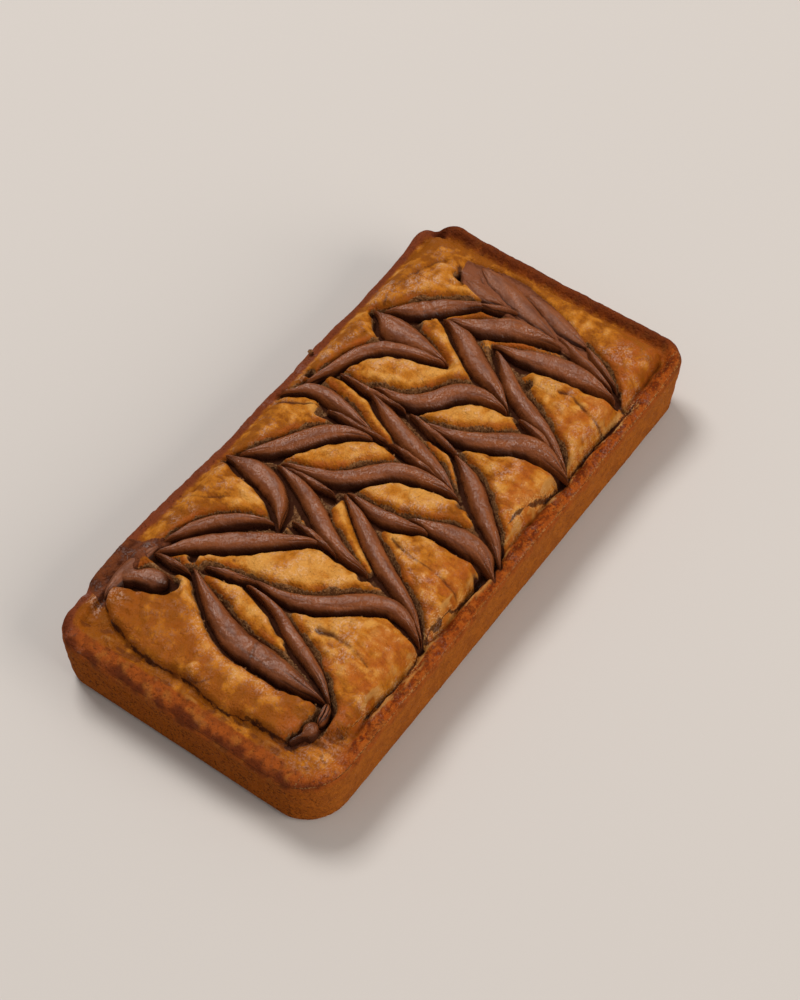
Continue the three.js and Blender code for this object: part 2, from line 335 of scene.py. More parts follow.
@dataclass
class Course:
    """Where one ridge of chocolate runs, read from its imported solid.

    It starts at the end that lies nearer the +Y side.
    """

    name: str
    line: Array
    half: Array
    crest: Array

    SLICE_STEP = 1.2
    FINE_STEP = 0.8
    LEAST_STEPS = 8
    END_GAP = 0.35
    REREADS = 2
    FEWEST_CUTS = 3
    TAIL = ((1.3, 0.8, 0.1), (2.6, 0.55, 0.5), (4.0, 0.25, 1.1))
    TAILS = {
        Lay.BLOB: (((2.5, 1.5, 0.1), (5.0, 1.4, 0.9), (7.5, 1.0, 2.4)), ()),
        Lay.ROPE: ((), ((0.7, 1.1, 0.1), (1.4, 1.0, 0.2))),
        Lay.PATCH: (((1.0, 0.8, 0.3),), ((1.3, 0.8, 0.1), (2.6, 0.5, 0.4))),
        Lay.SMEAR: (((1.0, 0.9, 1.6),), ((1.3, 0.8, 0.1), (2.6, 0.5, 0.5))),
    }
    LEAST_HALF = 0.14
    FULLNESS = {Lay.BLOB: 0.35, Lay.PATCH: 0.7, Lay.SMEAR: 0.6, Lay.ROPE: 0.25}
    USUAL_FULLNESS = 0.82
    WIDER = 1.06
    CAP = 2.4
    CAP_SHARE = 0.7
    BLUNT = 0.15

    @classmethod
    def of_node(cls, name: str) -> "Course":
        """Reads a course by slicing a solid, first across its length, then its course.

        Args:
            name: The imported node.

        Returns:
            The course that the solid follows.
        """
        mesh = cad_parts[name].data
        points = np.array([vertex.co for vertex in mesh.vertices], float) / MM
        edges = np.array([edge.vertices[:] for edge in mesh.edges])
        flat = points[:, :2] - points[:, :2].mean(0)
        along = np.linalg.svd(flat, full_matrices=False)[2][0]
        if along[1] > 0:
            along = -along
        reach = points[:, :2] @ along
        middle = points[:, :2].mean(0)
        places = np.arange(reach.min() + cls.END_GAP, reach.max() - cls.END_GAP, cls.SLICE_STEP)
        rows = []
        for place in places:
            centre = middle + along * (place - middle @ along)
            rows.append(cls._slice(points, edges, centre, along, np.inf))
        rows = np.array([row for row in rows if row is not None])
        for _ in range(cls.REREADS):
            line, half = evened(rows[:, :2], 3), evened(rows[:, 2], 2)
            steps = np.gradient(line, axis=0)
            steps /= np.linalg.norm(steps, axis=1)[:, None]
            again = []
            for row, place, step, wide in zip(rows, line, steps, half):
                found = cls._slice(points, edges, place, step, 1.5 * (wide + 1.0))
                again.append(row if found is None else found)
            rows = np.array(again)
        return cls(name, *cls._resample(cls._filled_out(evened(rows, 3), Lay.of_node(name))))

    @classmethod
    def _filled_out(cls, rows: Array, lay: Lay) -> Array:
        """Keeps a ridge full along its middle and draws its ends out into thin tails.

        Args:
            rows: Place, half width and crest, one a row.
            lay: How the ridge lies.

        Returns:
            The rows with a tail at each end.
        """
        rows = rows.copy()
        widest = rows[:, 2].max()
        full = widest * (rows[:, 2] / widest) ** cls.FULLNESS.get(lay, cls.USUAL_FULLNESS)
        rows[:, 2] = cls.WIDER * np.maximum(full, widest * cls.LEAST_HALF)
        grown = rows.tolist()
        ends = ((rows[0], rows[2], 0), (rows[-1], rows[-3], len(rows)))
        for tail, (end, inner, place) in zip(cls.TAILS.get(lay, (cls.TAIL, cls.TAIL)), ends):
            step = (end[:2] - inner[:2]) / np.linalg.norm(end[:2] - inner[:2])
            for reach, narrow, drop in tail:
                row = [*(end[:2] + step * reach), end[2] * narrow, end[3] - drop]
                grown.insert(0 if place == 0 else len(grown), row)
        return np.array(grown)

    @classmethod
    def _slice(cls, points: Array, edges: Array, centre: Array, along: Array,
               reach: float) -> Array | None:
        """Cuts a solid with an upright plane.

        Args:
            points: The solid's vertices.
            edges: The solid's edges.
            centre: A place that the plane goes through.
            along: The plane's normal, level.
            reach: How far from the centre a cut may be.

        Returns:
            The middle of the cut, half its width and its top, or None where it misses.
        """
        away = (points[:, :2] - centre) @ along
        first, second = edges[:, 0], edges[:, 1]
        crossing = away[first] * away[second] < 0
        first, second = first[crossing], second[crossing]
        share = (away[first] / (away[first] - away[second]))[:, None]
        cuts = points[first] + share * (points[second] - points[first])
        across = np.array([-along[1], along[0]])
        place = (cuts[:, :2] - centre) @ across
        near = np.abs(place) < reach
        if near.sum() < cls.FEWEST_CUTS:
            return None
        low, high = place[near].min(), place[near].max()
        middle = centre + across * (low + high) / 2
        return np.array([*middle, (high - low) / 2, cuts[near, 2].max()])

    @classmethod
    def _resample(cls, rows: Array) -> tuple[Array, Array, Array]:
        """Spreads the rows evenly along the course.

        Args:
            rows: Place, half width and crest, one a row.

        Returns:
            The line, the half widths and the crests.
        """
        steps = np.linalg.norm(np.diff(rows[:, :2], axis=0), axis=1)
        run = np.concatenate([[0.0], np.cumsum(steps)])
        count = max(int(run[-1] / cls.FINE_STEP), cls.LEAST_STEPS)
        even = np.linspace(0.0, run[-1], count + 1)
        spread = np.stack([np.interp(even, run, rows[:, column]) for column in range(4)], 1)
        spread = evened(spread, 4)
        ends = np.minimum(even, run[-1] - even) + cls.BLUNT
        half = spread[:, 2] * swell(ends / max(cls.CAP, cls.CAP_SHARE * spread[:, 2].max()))
        return spread[:, :2], half, spread[:, 3]

    @property
    def lay(self) -> Lay:
        """How the ridge lies."""
        return Lay.of_node(self.name)

    @property
    def length(self) -> float:
        """The course's length."""
        return float(np.linalg.norm(np.diff(self.line, axis=0), axis=1).sum())

    def steps(self) -> Array:
        """The course's direction at each point."""
        steps = np.gradient(self.line, axis=0)
        return steps / np.linalg.norm(steps, axis=1)[:, None]


@dataclass
class Nearness:
    """How far the points of the top are from the ridges of chocolate."""

    edge: Array
    second: Array
    away: Array

    MARGIN = 22.0

    @property
    def sloping(self) -> Array:
        """How squarely points lie on the nearest ridge's sloping side, from -1 to 1."""
        return self.away @ SLOPING_SIDE

    @classmethod
    def of(cls, x: Array, y: Array, courses: list[Course]) -> "Nearness":
        """Measures the points against every course.

        Args:
            x: The points' places along the loaf.
            y: The points' places across it.
            courses: The ridges.

        Returns:
            The distance to the nearest ridge's edge and to the second nearest, and the
            direction away from the nearest.
        """
        count = len(x)
        edge, second = np.full(count, cls.MARGIN), np.full(count, cls.MARGIN)
        away = np.zeros((count, 2))
        for course in courses:
            low, high = course.line.min(0) - cls.MARGIN, course.line.max(0) + cls.MARGIN
            near = np.flatnonzero((x > low[0]) & (x < high[0]) & (y > low[1]) & (y < high[1]))
            found, direction = cls._measure(x[near], y[near], course)
            better = found < edge[near]
            worse = ~better & (found < second[near])
            second[near[worse]] = found[worse]
            here = near[better]
            second[here] = edge[here]
            edge[here], away[here] = found[better], direction[better]
        return cls(edge, second, away)

    @staticmethod
    def _measure(x: Array, y: Array, course: Course) -> tuple[Array, Array]:
        """Measures points against one ridge.

        Args:
            x: The points' places along the loaf.
            y: The points' places across it.
            course: The ridge.

        Returns:
            The distance to its edge and the direction away from it.
        """
        best = np.full(len(x), np.inf)
        direction = np.zeros((len(x), 2))
        pairs = zip(course.line[:-1], course.line[1:], course.half[:-1], course.half[1:])
        for start, end, wide, wider in pairs:
            share, away_x, away_y = beside(x, y, start, end)
            gap = np.stack([away_x, away_y], 1)
            reach = np.linalg.norm(gap, axis=1)
            found = reach - between(wide, wider, share)
            closer = found < best
            best[closer] = found[closer]
            direction[closer] = gap[closer] / np.maximum(reach[closer], TINY)[:, None]
        return best, direction


# ---------------------------------------------------------------------------- meshes


@dataclass
class Shape:
    """A mesh in the making: points in millimetres, faces, and values for its finish."""

    points: Array
    faces: list[list[int]]
    values: dict[str, Array] = field(default_factory=dict)

    def build(self, name: str, finish: bpy.types.Material) -> bpy.types.Object:
        """Makes the piece out of the mesh.

        Args:
            name: The piece's name.
            finish: Its material.

        Returns:
            The object, smooth shaded, in the scene.
        """
        mesh = bpy.data.meshes.new(name)
        mesh.from_pydata((self.points * MM).tolist(), [], self.faces)
        mesh.polygons.foreach_set("use_smooth", np.ones(len(mesh.polygons), bool))
        for key, values in self.values.items():
            layer = mesh.attributes.new(key, "FLOAT", "POINT")
            layer.data.foreach_set("value", values.astype(np.float32))
        mesh.materials.append(finish)
        mesh.update()
        piece = bpy.data.objects.new(name, mesh)
        bpy.context.scene.collection.objects.link(piece)
        return piece


# ---------------------------------------------------------------------- shader writing


class Signal:
    """A number that varies over a surface. Sums on it add Math nodes to its shader."""

    def __init__(self, shader: "Shader", socket: bpy.types.NodeSocket) -> None:
        """Wraps an output socket of a node in the shader."""
        self.shader = shader
        self.socket = socket

    def _math(self, operation: str, *values: "Signal | float") -> "Signal":
        """Adds one Math node.

        Args:
            operation: What the node does.
            values: Its inputs in order.

        Returns:
            The node's result.
        """
        inputs = dict(enumerate(values))
        node = self.shader.add("ShaderNodeMath", {"operation": operation}, inputs)
        return Signal(self.shader, node.outputs[0])

    def __add__(self, other: "Signal | float") -> "Signal":
        """self + other"""
        return self._math("ADD", self, other)

    def __radd__(self, other: float) -> "Signal":
        """other + self"""
        return self._math("ADD", other, self)

    def __sub__(self, other: "Signal | float") -> "Signal":
        """self - other"""
        return self._math("SUBTRACT", self, other)

    def __rsub__(self, other: float) -> "Signal":
        """other - self"""
        return self._math("SUBTRACT", other, self)

    def __mul__(self, other: "Signal | float") -> "Signal":
        """self * other"""
        return self._math("MULTIPLY", self, other)

    def __rmul__(self, other: float) -> "Signal":
        """other * self"""
        return self._math("MULTIPLY", other, self)

    def __abs__(self) -> "Signal":
        """The number without its sign."""
        return self._math("ABSOLUTE", self)

    def above(self, start: float, end: float) -> "Signal":
        """A soft step.

        Args:
            start: Where the step begins.
            end: Where it is complete. It may be below start, for a step that falls.

        Returns:
            0 before start and 1 past end.
        """
        settings = {"interpolation_type": "SMOOTHSTEP", "clamp": True}
        inputs = {"Value": self, "From Min": start, "From Max": end}
        node = self.shader.add("ShaderNodeMapRange", settings, inputs)
        return Signal(self.shader, node.outputs[0])

    def sway(self, strength: float) -> "Signal":
        """Noise as a change about 0, instead of one about 0.5."""
        return (self - 0.5) * strength


Colour = tuple[float, float, float, float]


def paint(code: str) -> Colour:
    """A colour for a shader.

    Args:
        code: Six hexadecimal digits, as on a screen.

    Returns:
        Its linear red, green and blue, and 1.
    """
    parts = [int(code[index:index + 2], 16) / 255 for index in (0, 2, 4)]
    linear = [p / 12.92 if p <= 0.04045 else ((p + 0.055) / 1.055) ** 2.4 for p in parts]
    return (linear[0], linear[1], linear[2], 1.0)


class Shader:
    """The node tree of one material."""

    def __init__(self, name: str) -> None:
        """Starts an empty material.

        Args:
            name: The material's name.
        """
        self.material = bpy.data.materials.new(name)
        self.material.use_nodes = True
        self.tree = self.material.node_tree
        self.tree.nodes.clear()
        self.places = self.add("ShaderNodeTexCoord").outputs["Object"]

    def add(self, kind: str, settings: dict | None = None,
            inputs: dict | None = None) -> bpy.types.Node:
        """Adds a node.

        Args:
            kind: The node's type.
            settings: Its own properties, which are set first.
            inputs: Values or links for its sockets, by name or number.

        Returns:
            The node.
        """
        node = self.tree.nodes.new(kind)
        for key, value in (settings or {}).items():
            setattr(node, key, value)
        for key, value in (inputs or {}).items():
            if isinstance(value, Signal):
                value = value.socket
            if isinstance(value, bpy.types.NodeSocket):
                self.tree.links.new(value, node.inputs[key])
            else:
                node.inputs[key].default_value = value
        return node

    def layer(self, name: str) -> Signal:
        """A value that the mesh carries."""
        node = self.add("ShaderNodeAttribute", {"attribute_name": name})
        return Signal(self, node.outputs["Fac"])

    def noise(self, size: float, detail: float, roughness: float,
              shift: float = 0.0) -> Signal:
        """Cloudy noise.

        Args:
            size: How far apart its clouds are, in millimetres.
            detail: How many finer layers it has.
            roughness: How strong they are.
            shift: Moves it, so that two noises of one size differ, in metres.

        Returns:
            The noise, about 0.5.
        """
        moved = self.add("ShaderNodeVectorMath", {"operation": "ADD"},
                         {0: self.places, 1: (shift, shift, shift)})
        inputs = {"Vector": moved.outputs[0], "Scale": 1.0 / (size * MM), "Detail": detail,
                  "Roughness": roughness}
        return Signal(self, self.add("ShaderNodeTexNoise", {}, inputs).outputs["Fac"])

    def cells(self, size: float) -> Signal:
        """The distance from the middle of a cell, as for freckles.

        Args:
            size: How far apart the cells are, in millimetres.

        Returns:
            0 at a cell's middle, and about 0.5 at its edge.
        """
        inputs = {"Vector": self.places, "Scale": 1.0 / (size * MM)}
        return Signal(self, self.add("ShaderNodeTexVoronoi", {}, inputs).outputs["Distance"])

    def mix(self, share: Signal | float, low: object, high: object) -> bpy.types.NodeSocket:
        """Blends two colours.

        Args:
            share: 0 for the low colour and 1 for the high one.
            low: A colour or a colour socket.
            high: A colour or a colour socket.

        Returns:
            The blended colour.
        """
        node = self.add("ShaderNodeMix", {"data_type": "RGBA", "clamp_factor": True},
                        {0: share, 6: low, 7: high})
        return node.outputs[2]

    def coats(self, base: object, *coats: tuple[Signal, object]) -> bpy.types.NodeSocket:
        """Lays coats of colour over a base, one after another.

        Args:
            base: A colour or a colour socket.
            coats: Where each coat lies, from 0 to 1, and its colour.

        Returns:
            The colour of them all.
        """
        for share, colour in coats:
            base = self.mix(share, base, colour)
        return base

    def bump(self, height: Signal, depth: float, strength: float) -> bpy.types.NodeSocket:
        """Small relief.

        Args:
            height: The relief, from 0 to 1.
            depth: How high 1 is, in millimetres.
            strength: How much of it shows.

        Returns:
            The surface's direction.
        """
        inputs = {"Height": height, "Distance": depth * MM, "Strength": strength}
        return self.add("ShaderNodeBump", {}, inputs).outputs["Normal"]

    def surface(self, **inputs: object) -> bpy.types.NodeSocket:
        """Adds a Principled shader.

        Args:
            inputs: The shader's sockets, with _ for a space in their names.

        Returns:
            The surface that it makes.
        """
        named = {key.replace("_", " "): value for key, value in inputs.items()}
        return self.add("ShaderNodeBsdfPrincipled", {}, named).outputs["BSDF"]

    def blend(self, share: Signal, low: bpy.types.NodeSocket,
              high: bpy.types.NodeSocket) -> bpy.types.NodeSocket:
        """Blends two surfaces.

        Args:
            share: 0 for the low one and 1 for the high one.
            low: A surface.
            high: A surface.

        Returns:
            The blended surface.
        """
        return self.add("ShaderNodeMixShader", {}, {0: share, 1: low, 2: high}).outputs[0]

    def close(self, surface: bpy.types.NodeSocket) -> bpy.types.Material:
        """Ends the material with a surface."""
        self.add("ShaderNodeOutputMaterial", {}, {"Surface": surface})
        return self.material


# --------------------------------------------------------------------------- finishes


class CrustShader(Shader):
    """The crust's shader, with the noises that several of its coats share."""

    def __init__(self) -> None:
        """Starts the material and adds the noises."""
        super().__init__("baked_crust")
        self.clouds = self.noise(13.0, 3.0, 0.55)
        self.blotch = self.noise(6.5, 3.0, 0.6, 0.3)
        self.streak = self.noise(6.0, 4.0, 0.6, 0.1)
        self.mottle = self.noise(3.2, 4.0, 0.62)
        self.pits = self.noise(1.3, 3.0, 0.6, 0.5)
        self.grit = self.noise(1.2, 2.0, 0.55, 0.7)
        self.pores = self.noise(1.1, 3.0, 0.6, 0.9)
        self.fine = self.noise(0.9, 3.0, 0.6)
        self.ruddy = self.layer("ruddy")
        crinkle = abs(self.noise(7.0, 3.0, 0.6, 1.3) - 0.5).above(0.05, 0.0)
        self.crinkle = crinkle * self.blotch.above(0.42, 0.6)


@dataclass(frozen=True)
class CrustFinish:
    """The baked skin, the crumb in the cracks, the rim and the walls of the loaf."""

    gold: Colour = paint("cf9142")
    amber: Colour = paint("b66e18")
    brown: Colour = paint("8c4c08")
    fleck: Colour = paint("dba864")
    flake: Colour = paint("b98546")
    # Pale pinkish grains where the skin shines: a painted sheen.
    dust: Colour = paint("dca67a")
    ruddy: Colour = paint("a8521a")
    speck: Colour = paint("6e3c12")
    crumb: Colour = paint("8d6038")
    crumb_light: Colour = paint("a8835a")
    crumb_low: Colour = paint("65412a")
    crumb_dark: Colour = paint("482612")
    # The next three colours are painted shade: in the gaps, pockets and crevice, and in lines,
    # pores, cracks and the crease.
    pit: Colour = paint("3c1d0f")
    seam: Colour = paint("5c2c10")
    crack: Colour = paint("3a1807")
    rim: Colour = paint("964a18")
    rim_dark: Colour = paint("5e2c10")
    rim_red: Colour = paint("6c2a08")
    rim_gold: Colour = paint("b0722e")
    rim_glow: Colour = paint("9e480c")
    rim_pit: Colour = paint("431d0c")
    wall: Colour = paint("9e581c")
    wall_dark: Colour = paint("7d4118")
    wall_warm: Colour = paint("8f4200")
    pore: Colour = paint("4a2207")
    scorch: Colour = paint("55230f")
    blush: Colour = paint("773a20")
    milk: Colour = paint("6e3a1f")
    cocoa: Colour = paint("502612")
    slab: Colour = paint("7e4a30")

    def _skin(self, shader: CrustShader) -> bpy.types.NodeSocket:
        """Colours the skin of the lobes.

        Args:
            shader: The crust's shader.

        Returns:
            The colour.
        """
        tone = shader.layer("tone") + shader.clouds.sway(0.9) + shader.blotch.sway(0.45)
        tone = tone + shader.mottle.sway(0.8) + shader.fine.sway(0.9)
        freckles = shader.cells(2.3).above(0.16, 0.08) * shader.blotch.above(0.42, 0.6)
        blushes = shader.ruddy * shader.blotch.above(0.35, 0.6)
        flecks = shader.fine.above(0.56, 0.7) * tone.above(0.9, 0.2)
        # Painted sheen: pale grains where the sheen value is high.
        painted_sheen_grains = shader.fine.above(0.5, 0.62) * shader.layer("sheen")
        return shader.coats(
            self.gold,
            (tone.above(-0.1, 0.5), self.amber),
            (tone.above(0.4, 1.0), self.brown),
            (shader.grit.above(0.53, 0.66) * 0.24, self.speck),
            (freckles * 0.55, self.speck),
            (blushes * 0.6, self.ruddy),
            (flecks * 0.55, self.fleck),
            (painted_sheen_grains * 0.34, self.dust),
            (shader.crinkle * 0.15, self.speck),
        )

    def _crumb(self, shader: CrustShader) -> bpy.types.NodeSocket:
        """Colours the crumb that lies open.

        Args:
            shader: The crust's shader.

        Returns:
            The colour.
        """
        return shader.coats(
            self.crumb,
            # Darker crumb at the trench floors and where ridges crowd: painted shade, with chocolate
            # stain.
            (shader.layer("low") * 0.8 + shader.mottle.sway(1.2), self.crumb_low),
            (shader.grit.above(0.5, 0.6) * 0.7, self.crumb_dark),
            (shader.fine.above(0.52, 0.62) * 0.55, self.crumb_light),
        )

    def _rim(self, shader: CrustShader) -> bpy.types.NodeSocket:
        """Colours the rim.

        Args:
            shader: The crust's shader.

        Returns:
            The colour.
        """
        flaky = shader.layer("flaky")
        reds = (shader.mottle + flaky * 0.12).above(0.52, 0.64) * flaky
        return shader.coats(
            self.rim,
            (shader.mottle.above(0.42, 0.66) * 0.5, self.rim_dark),
            (shader.streak.above(0.5, 0.64) * 0.35, self.rim_gold),
            (shader.layer("blush"), self.blush),
            (shader.layer("scorch") + shader.streak.sway(0.5), self.scorch),
            (flaky * 0.8, self.rim_glow),
            (reds * 0.8, self.rim_red),
            (shader.fine.above(0.56, 0.64) * flaky * 0.4, self.rim_gold),
            ((shader.pits + flaky * 0.07).above(0.56, 0.66) * 0.5, self.rim_pit),
        )

    def _wall(self, shader: CrustShader) -> bpy.types.NodeSocket:
        """Colours the walls.

        Args:
            shader: The crust's shader.

        Returns:
            The colour.
        """
        holes = shader.pores.above(0.52, 0.62) * (0.3 + shader.ruddy * 0.5)
        return shader.coats(
            self.wall,
            (shader.streak.above(0.42, 0.62) * 0.5, self.wall_dark),
            # Painted warm bounce light on the near wall.
            (shader.ruddy * 0.55, self.wall_warm),
            (holes, self.pore),
            (shader.fine.above(0.56, 0.66) * 0.35, self.amber),
        )

    def _marks(self, shader: CrustShader, colour: bpy.types.NodeSocket) -> bpy.types.NodeSocket:
        """Draws the painted shade in the lines, cracks, crease, crevice and gaps, the torn flakes
        and the chocolate that lies thin.

        Args:
            shader: The crust's shader.
            colour: The colour under them.

        Returns:
            The colour with all of them.
        """
        mottle, grit = shader.mottle, shader.grit
        torn = (shader.layer("torn") + mottle.sway(0.8)).above(0.2, 1.0)
        line = shader.layer("line") + mottle.sway(0.5)
        crack = abs(shader.layer("crack") + mottle.sway(1.6)).above(0.8, 0.1)
        seam = abs(shader.layer("seam") + mottle.sway(1.4))
        lips = (seam + grit.sway(2.0)).above(2.6, 1.0) * shader.fine.above(0.47, 0.58)
        crease = abs(shader.layer("crease") + mottle.sway(1.8)) + shader.blotch.sway(1.6)
        stain = shader.layer("stain") + mottle.sway(0.7) + shader.fine.sway(0.3)
        spread = shader.coats(
            self.milk,
            (mottle.above(0.4, 0.6), self.cocoa),
            (shader.layer("slab"), self.slab),
        )
        return shader.coats(
            colour,
            (torn * 0.75, self.flake),
            (line.above(0.2, 0.8) * 0.6, self.seam),
            (crack * line.above(0.1, 0.9) * 0.8, self.crack),
            (lips * 0.5, self.fleck),
            ((seam + grit.sway(1.2)).above(0.9, 0.3) * 0.85, self.pit),
            (crease.above(0.45, 0.05) * (mottle + 0.45), self.crack),
            (stain.above(0.35, 0.65), spread),
            ((shader.layer("gap") + shader.fine.sway(0.3)).above(0.3, 0.8), self.pit),
        )

    def make(self) -> bpy.types.Material:
        """Writes the material.

        Returns:
            The crust's material.
        """
        shader = CrustShader()
        mottle, fine, grit = shader.mottle, shader.fine, shader.grit
        wall = shader.layer("wall")
        crumb = (shader.layer("crumb") + fine.sway(0.5) + grit.sway(0.4)).above(0.3, 0.6)
        rim = (shader.layer("rim") + mottle.sway(0.9)).above(0.15, 0.65)
        colour = shader.coats(
            self._skin(shader),
            (crumb, self._crumb(shader)),
            (rim, self._rim(shader)),
            (wall, self._wall(shader)),
        )
        colour = self._marks(shader, colour)

        relief = fine * 1.1 + mottle * 1.3 + (0.5 - grit) * crumb * 0.8 - shader.crinkle * 0.35
        relief = relief + (0.5 - shader.pores) * wall * 0.8 + (0.5 - shader.pits) * rim * 1.2
        normal = shader.bump(relief, 0.7, 0.8)
        dull = shader.surface(Base_Color=colour, Roughness=0.92, Normal=normal,
                              Specular_IOR_Level=0.06)
        rough = 0.32 + fine.sway(0.5) + mottle.sway(0.4)
        glossy = shader.surface(Base_Color=colour, Roughness=rough, Normal=normal,
                                Specular_IOR_Level=0.9)
        bare = (1.0 - crumb * 0.8) * (1.0 - wall) * (1.0 - rim * 0.7)
        shine = shader.layer("sheen") * (mottle.above(0.44, 0.6) + 0.1) * fine.above(0.42, 0.56)
        return shader.close(shader.blend((shine * 1.6 + 0.07) * bare, dull, glossy))


@dataclass(frozen=True)
class ChocolateFinish:
    """Chocolate spread that has set: satin on its backs, matte where it lies thin. Its dark coat is
    painted shade on flanks, folds and grooves, and also the chocolate's own darker places.
    """

    milk: Colour = paint("844a26")
    warm: Colour = paint("613118")
    dark: Colour = paint("391c11")

    def make(self) -> bpy.types.Material:
        """Writes the material.

        Returns:
            The chocolate's material.
        """
        shader = Shader("set_chocolate")
        clouds = shader.noise(9.0, 3.0, 0.5)
        fine = shader.noise(0.9, 3.0, 0.6)
        lumps = shader.noise(2.2, 2.0, 0.5, 0.4)
        matte = shader.layer("matte")
        streak = shader.layer("streak")
        warmth = streak * 0.6 + clouds.sway(0.9) + 0.3
        # shade: painted shade on the flanks and in folds, grooves and cracks, plus darker chocolate
        # in places.
        shade = shader.layer("shade") + clouds.sway(0.25) + fine.sway(0.2)
        colour = shader.coats(self.milk, (warmth, self.warm), (shade.above(0.1, 1.0), self.dark))
        rough = 0.21 + matte * 0.3 + streak * 0.2 + lumps.sway(0.5) + fine.sway(0.4)
        relief = lumps * 1.1 + fine * 0.9
        surface = shader.surface(
            Base_Color=colour, Roughness=rough, Normal=shader.bump(relief, 0.5, 0.8),
            Specular_IOR_Level=0.34,
        )
        return shader.close(surface)


@dataclass(frozen=True)
class CrumbFinish:
    """Loose crumbs of the bread."""

    light: Colour = paint("94653a")
    dark: Colour = paint("4a2a16")

    def make(self) -> bpy.types.Material:
        """Writes the material.

        Returns:
            The crumbs' material.
        """
        shader = Shader("loose_crumb")
        patches = shader.noise(1.6, 3.0, 0.6)
        colour = shader.mix(patches.above(0.38, 0.62), self.light, self.dark)
        relief = shader.noise(0.5, 3.0, 0.6)
        surface = shader.surface(
            Base_Color=colour, Roughness=0.85, Normal=shader.bump(relief, 0.3, 0.6),
            Specular_IOR_Level=0.2,
        )
        return shader.close(surface)


@dataclass(frozen=True)
class FloorFinish:
    """Pale plain paper under the loaf."""

    pale: Colour = paint("cbc7c4")

    def make(self) -> bpy.types.Material:
        """Writes the material.

        Returns:
            The floor's material.
        """
        shader = Shader("pale_floor")
        surface = shader.surface(Base_Color=self.pale, Roughness=0.9, Specular_IOR_Level=0.1)
        return shader.close(surface)


# ------------------------------------------------------------------------- the loaf


@dataclass(frozen=True)
class RimSide:
    """The rim's section on one side of the loaf, as distances in from the outline.

    band is where the rim's top ends, valley is where its inner slope ends, cut is how
    deeply the lobes fall off towards the valley, as a share, and shoulder is how far in
    the rim's rounded outer edge reaches.
    """

    band: float
    valley: float
    cut: float
    shoulder: float


class Side(Enum):
    """The four sides of the loaf, with the way that each faces and its rim."""

    NEAR = ((-1.0, 0.0), RimSide(6.5, 9.5, 0.10, 6.5))
    FAR = ((1.0, 0.0), RimSide(3.0, 7.6, 0.60, 3.0))
    LEFT = ((0.0, 1.0), RimSide(2.8, 5.4, 0.30, 3.0))
    RIGHT = ((0.0, -1.0), RimSide(5.2, 8.4, 0.85, 3.6))

    @property
    def section(self) -> RimSide:
        """The rim's section on this side."""
        return self.value[1]

    def weight(self, facing: Array) -> Array:
        """How much a place belongs to this side, by the way that its outline faces."""
        return np.clip(facing @ np.array(self.value[0]), 0.0, 1.0) ** 2


@dataclass(frozen=True)
class Pocket:
    """A place between ridges where the crumb lies open and no lobe rises; dark is how much painted
    shade lies in it.
    """

    x: float
    y: float
    radius: float
    dark: float = 0.3

    OPEN = 1.25

    def at(self, x: Array, y: Array) -> Array:
        """How much points belong to the pocket, from 0 to 1."""
        return spot(x, y, (self.x, self.y), self.radius * self.OPEN)


@dataclass
class Ground:
    """The top's points before they are raised, with what shapes them.

    inset and facing are how far in from the outline they lie and the way that it faces,
    coarse, medium and rugged are noises, and the rest is the rim's section beside them.
    """

    x: Array
    y: Array
    inset: Array
    facing: Array
    coarse: Array
    medium: Array
    rugged: Array
    band: Array
    valley: Array
    cut: Array
    shoulder: Array


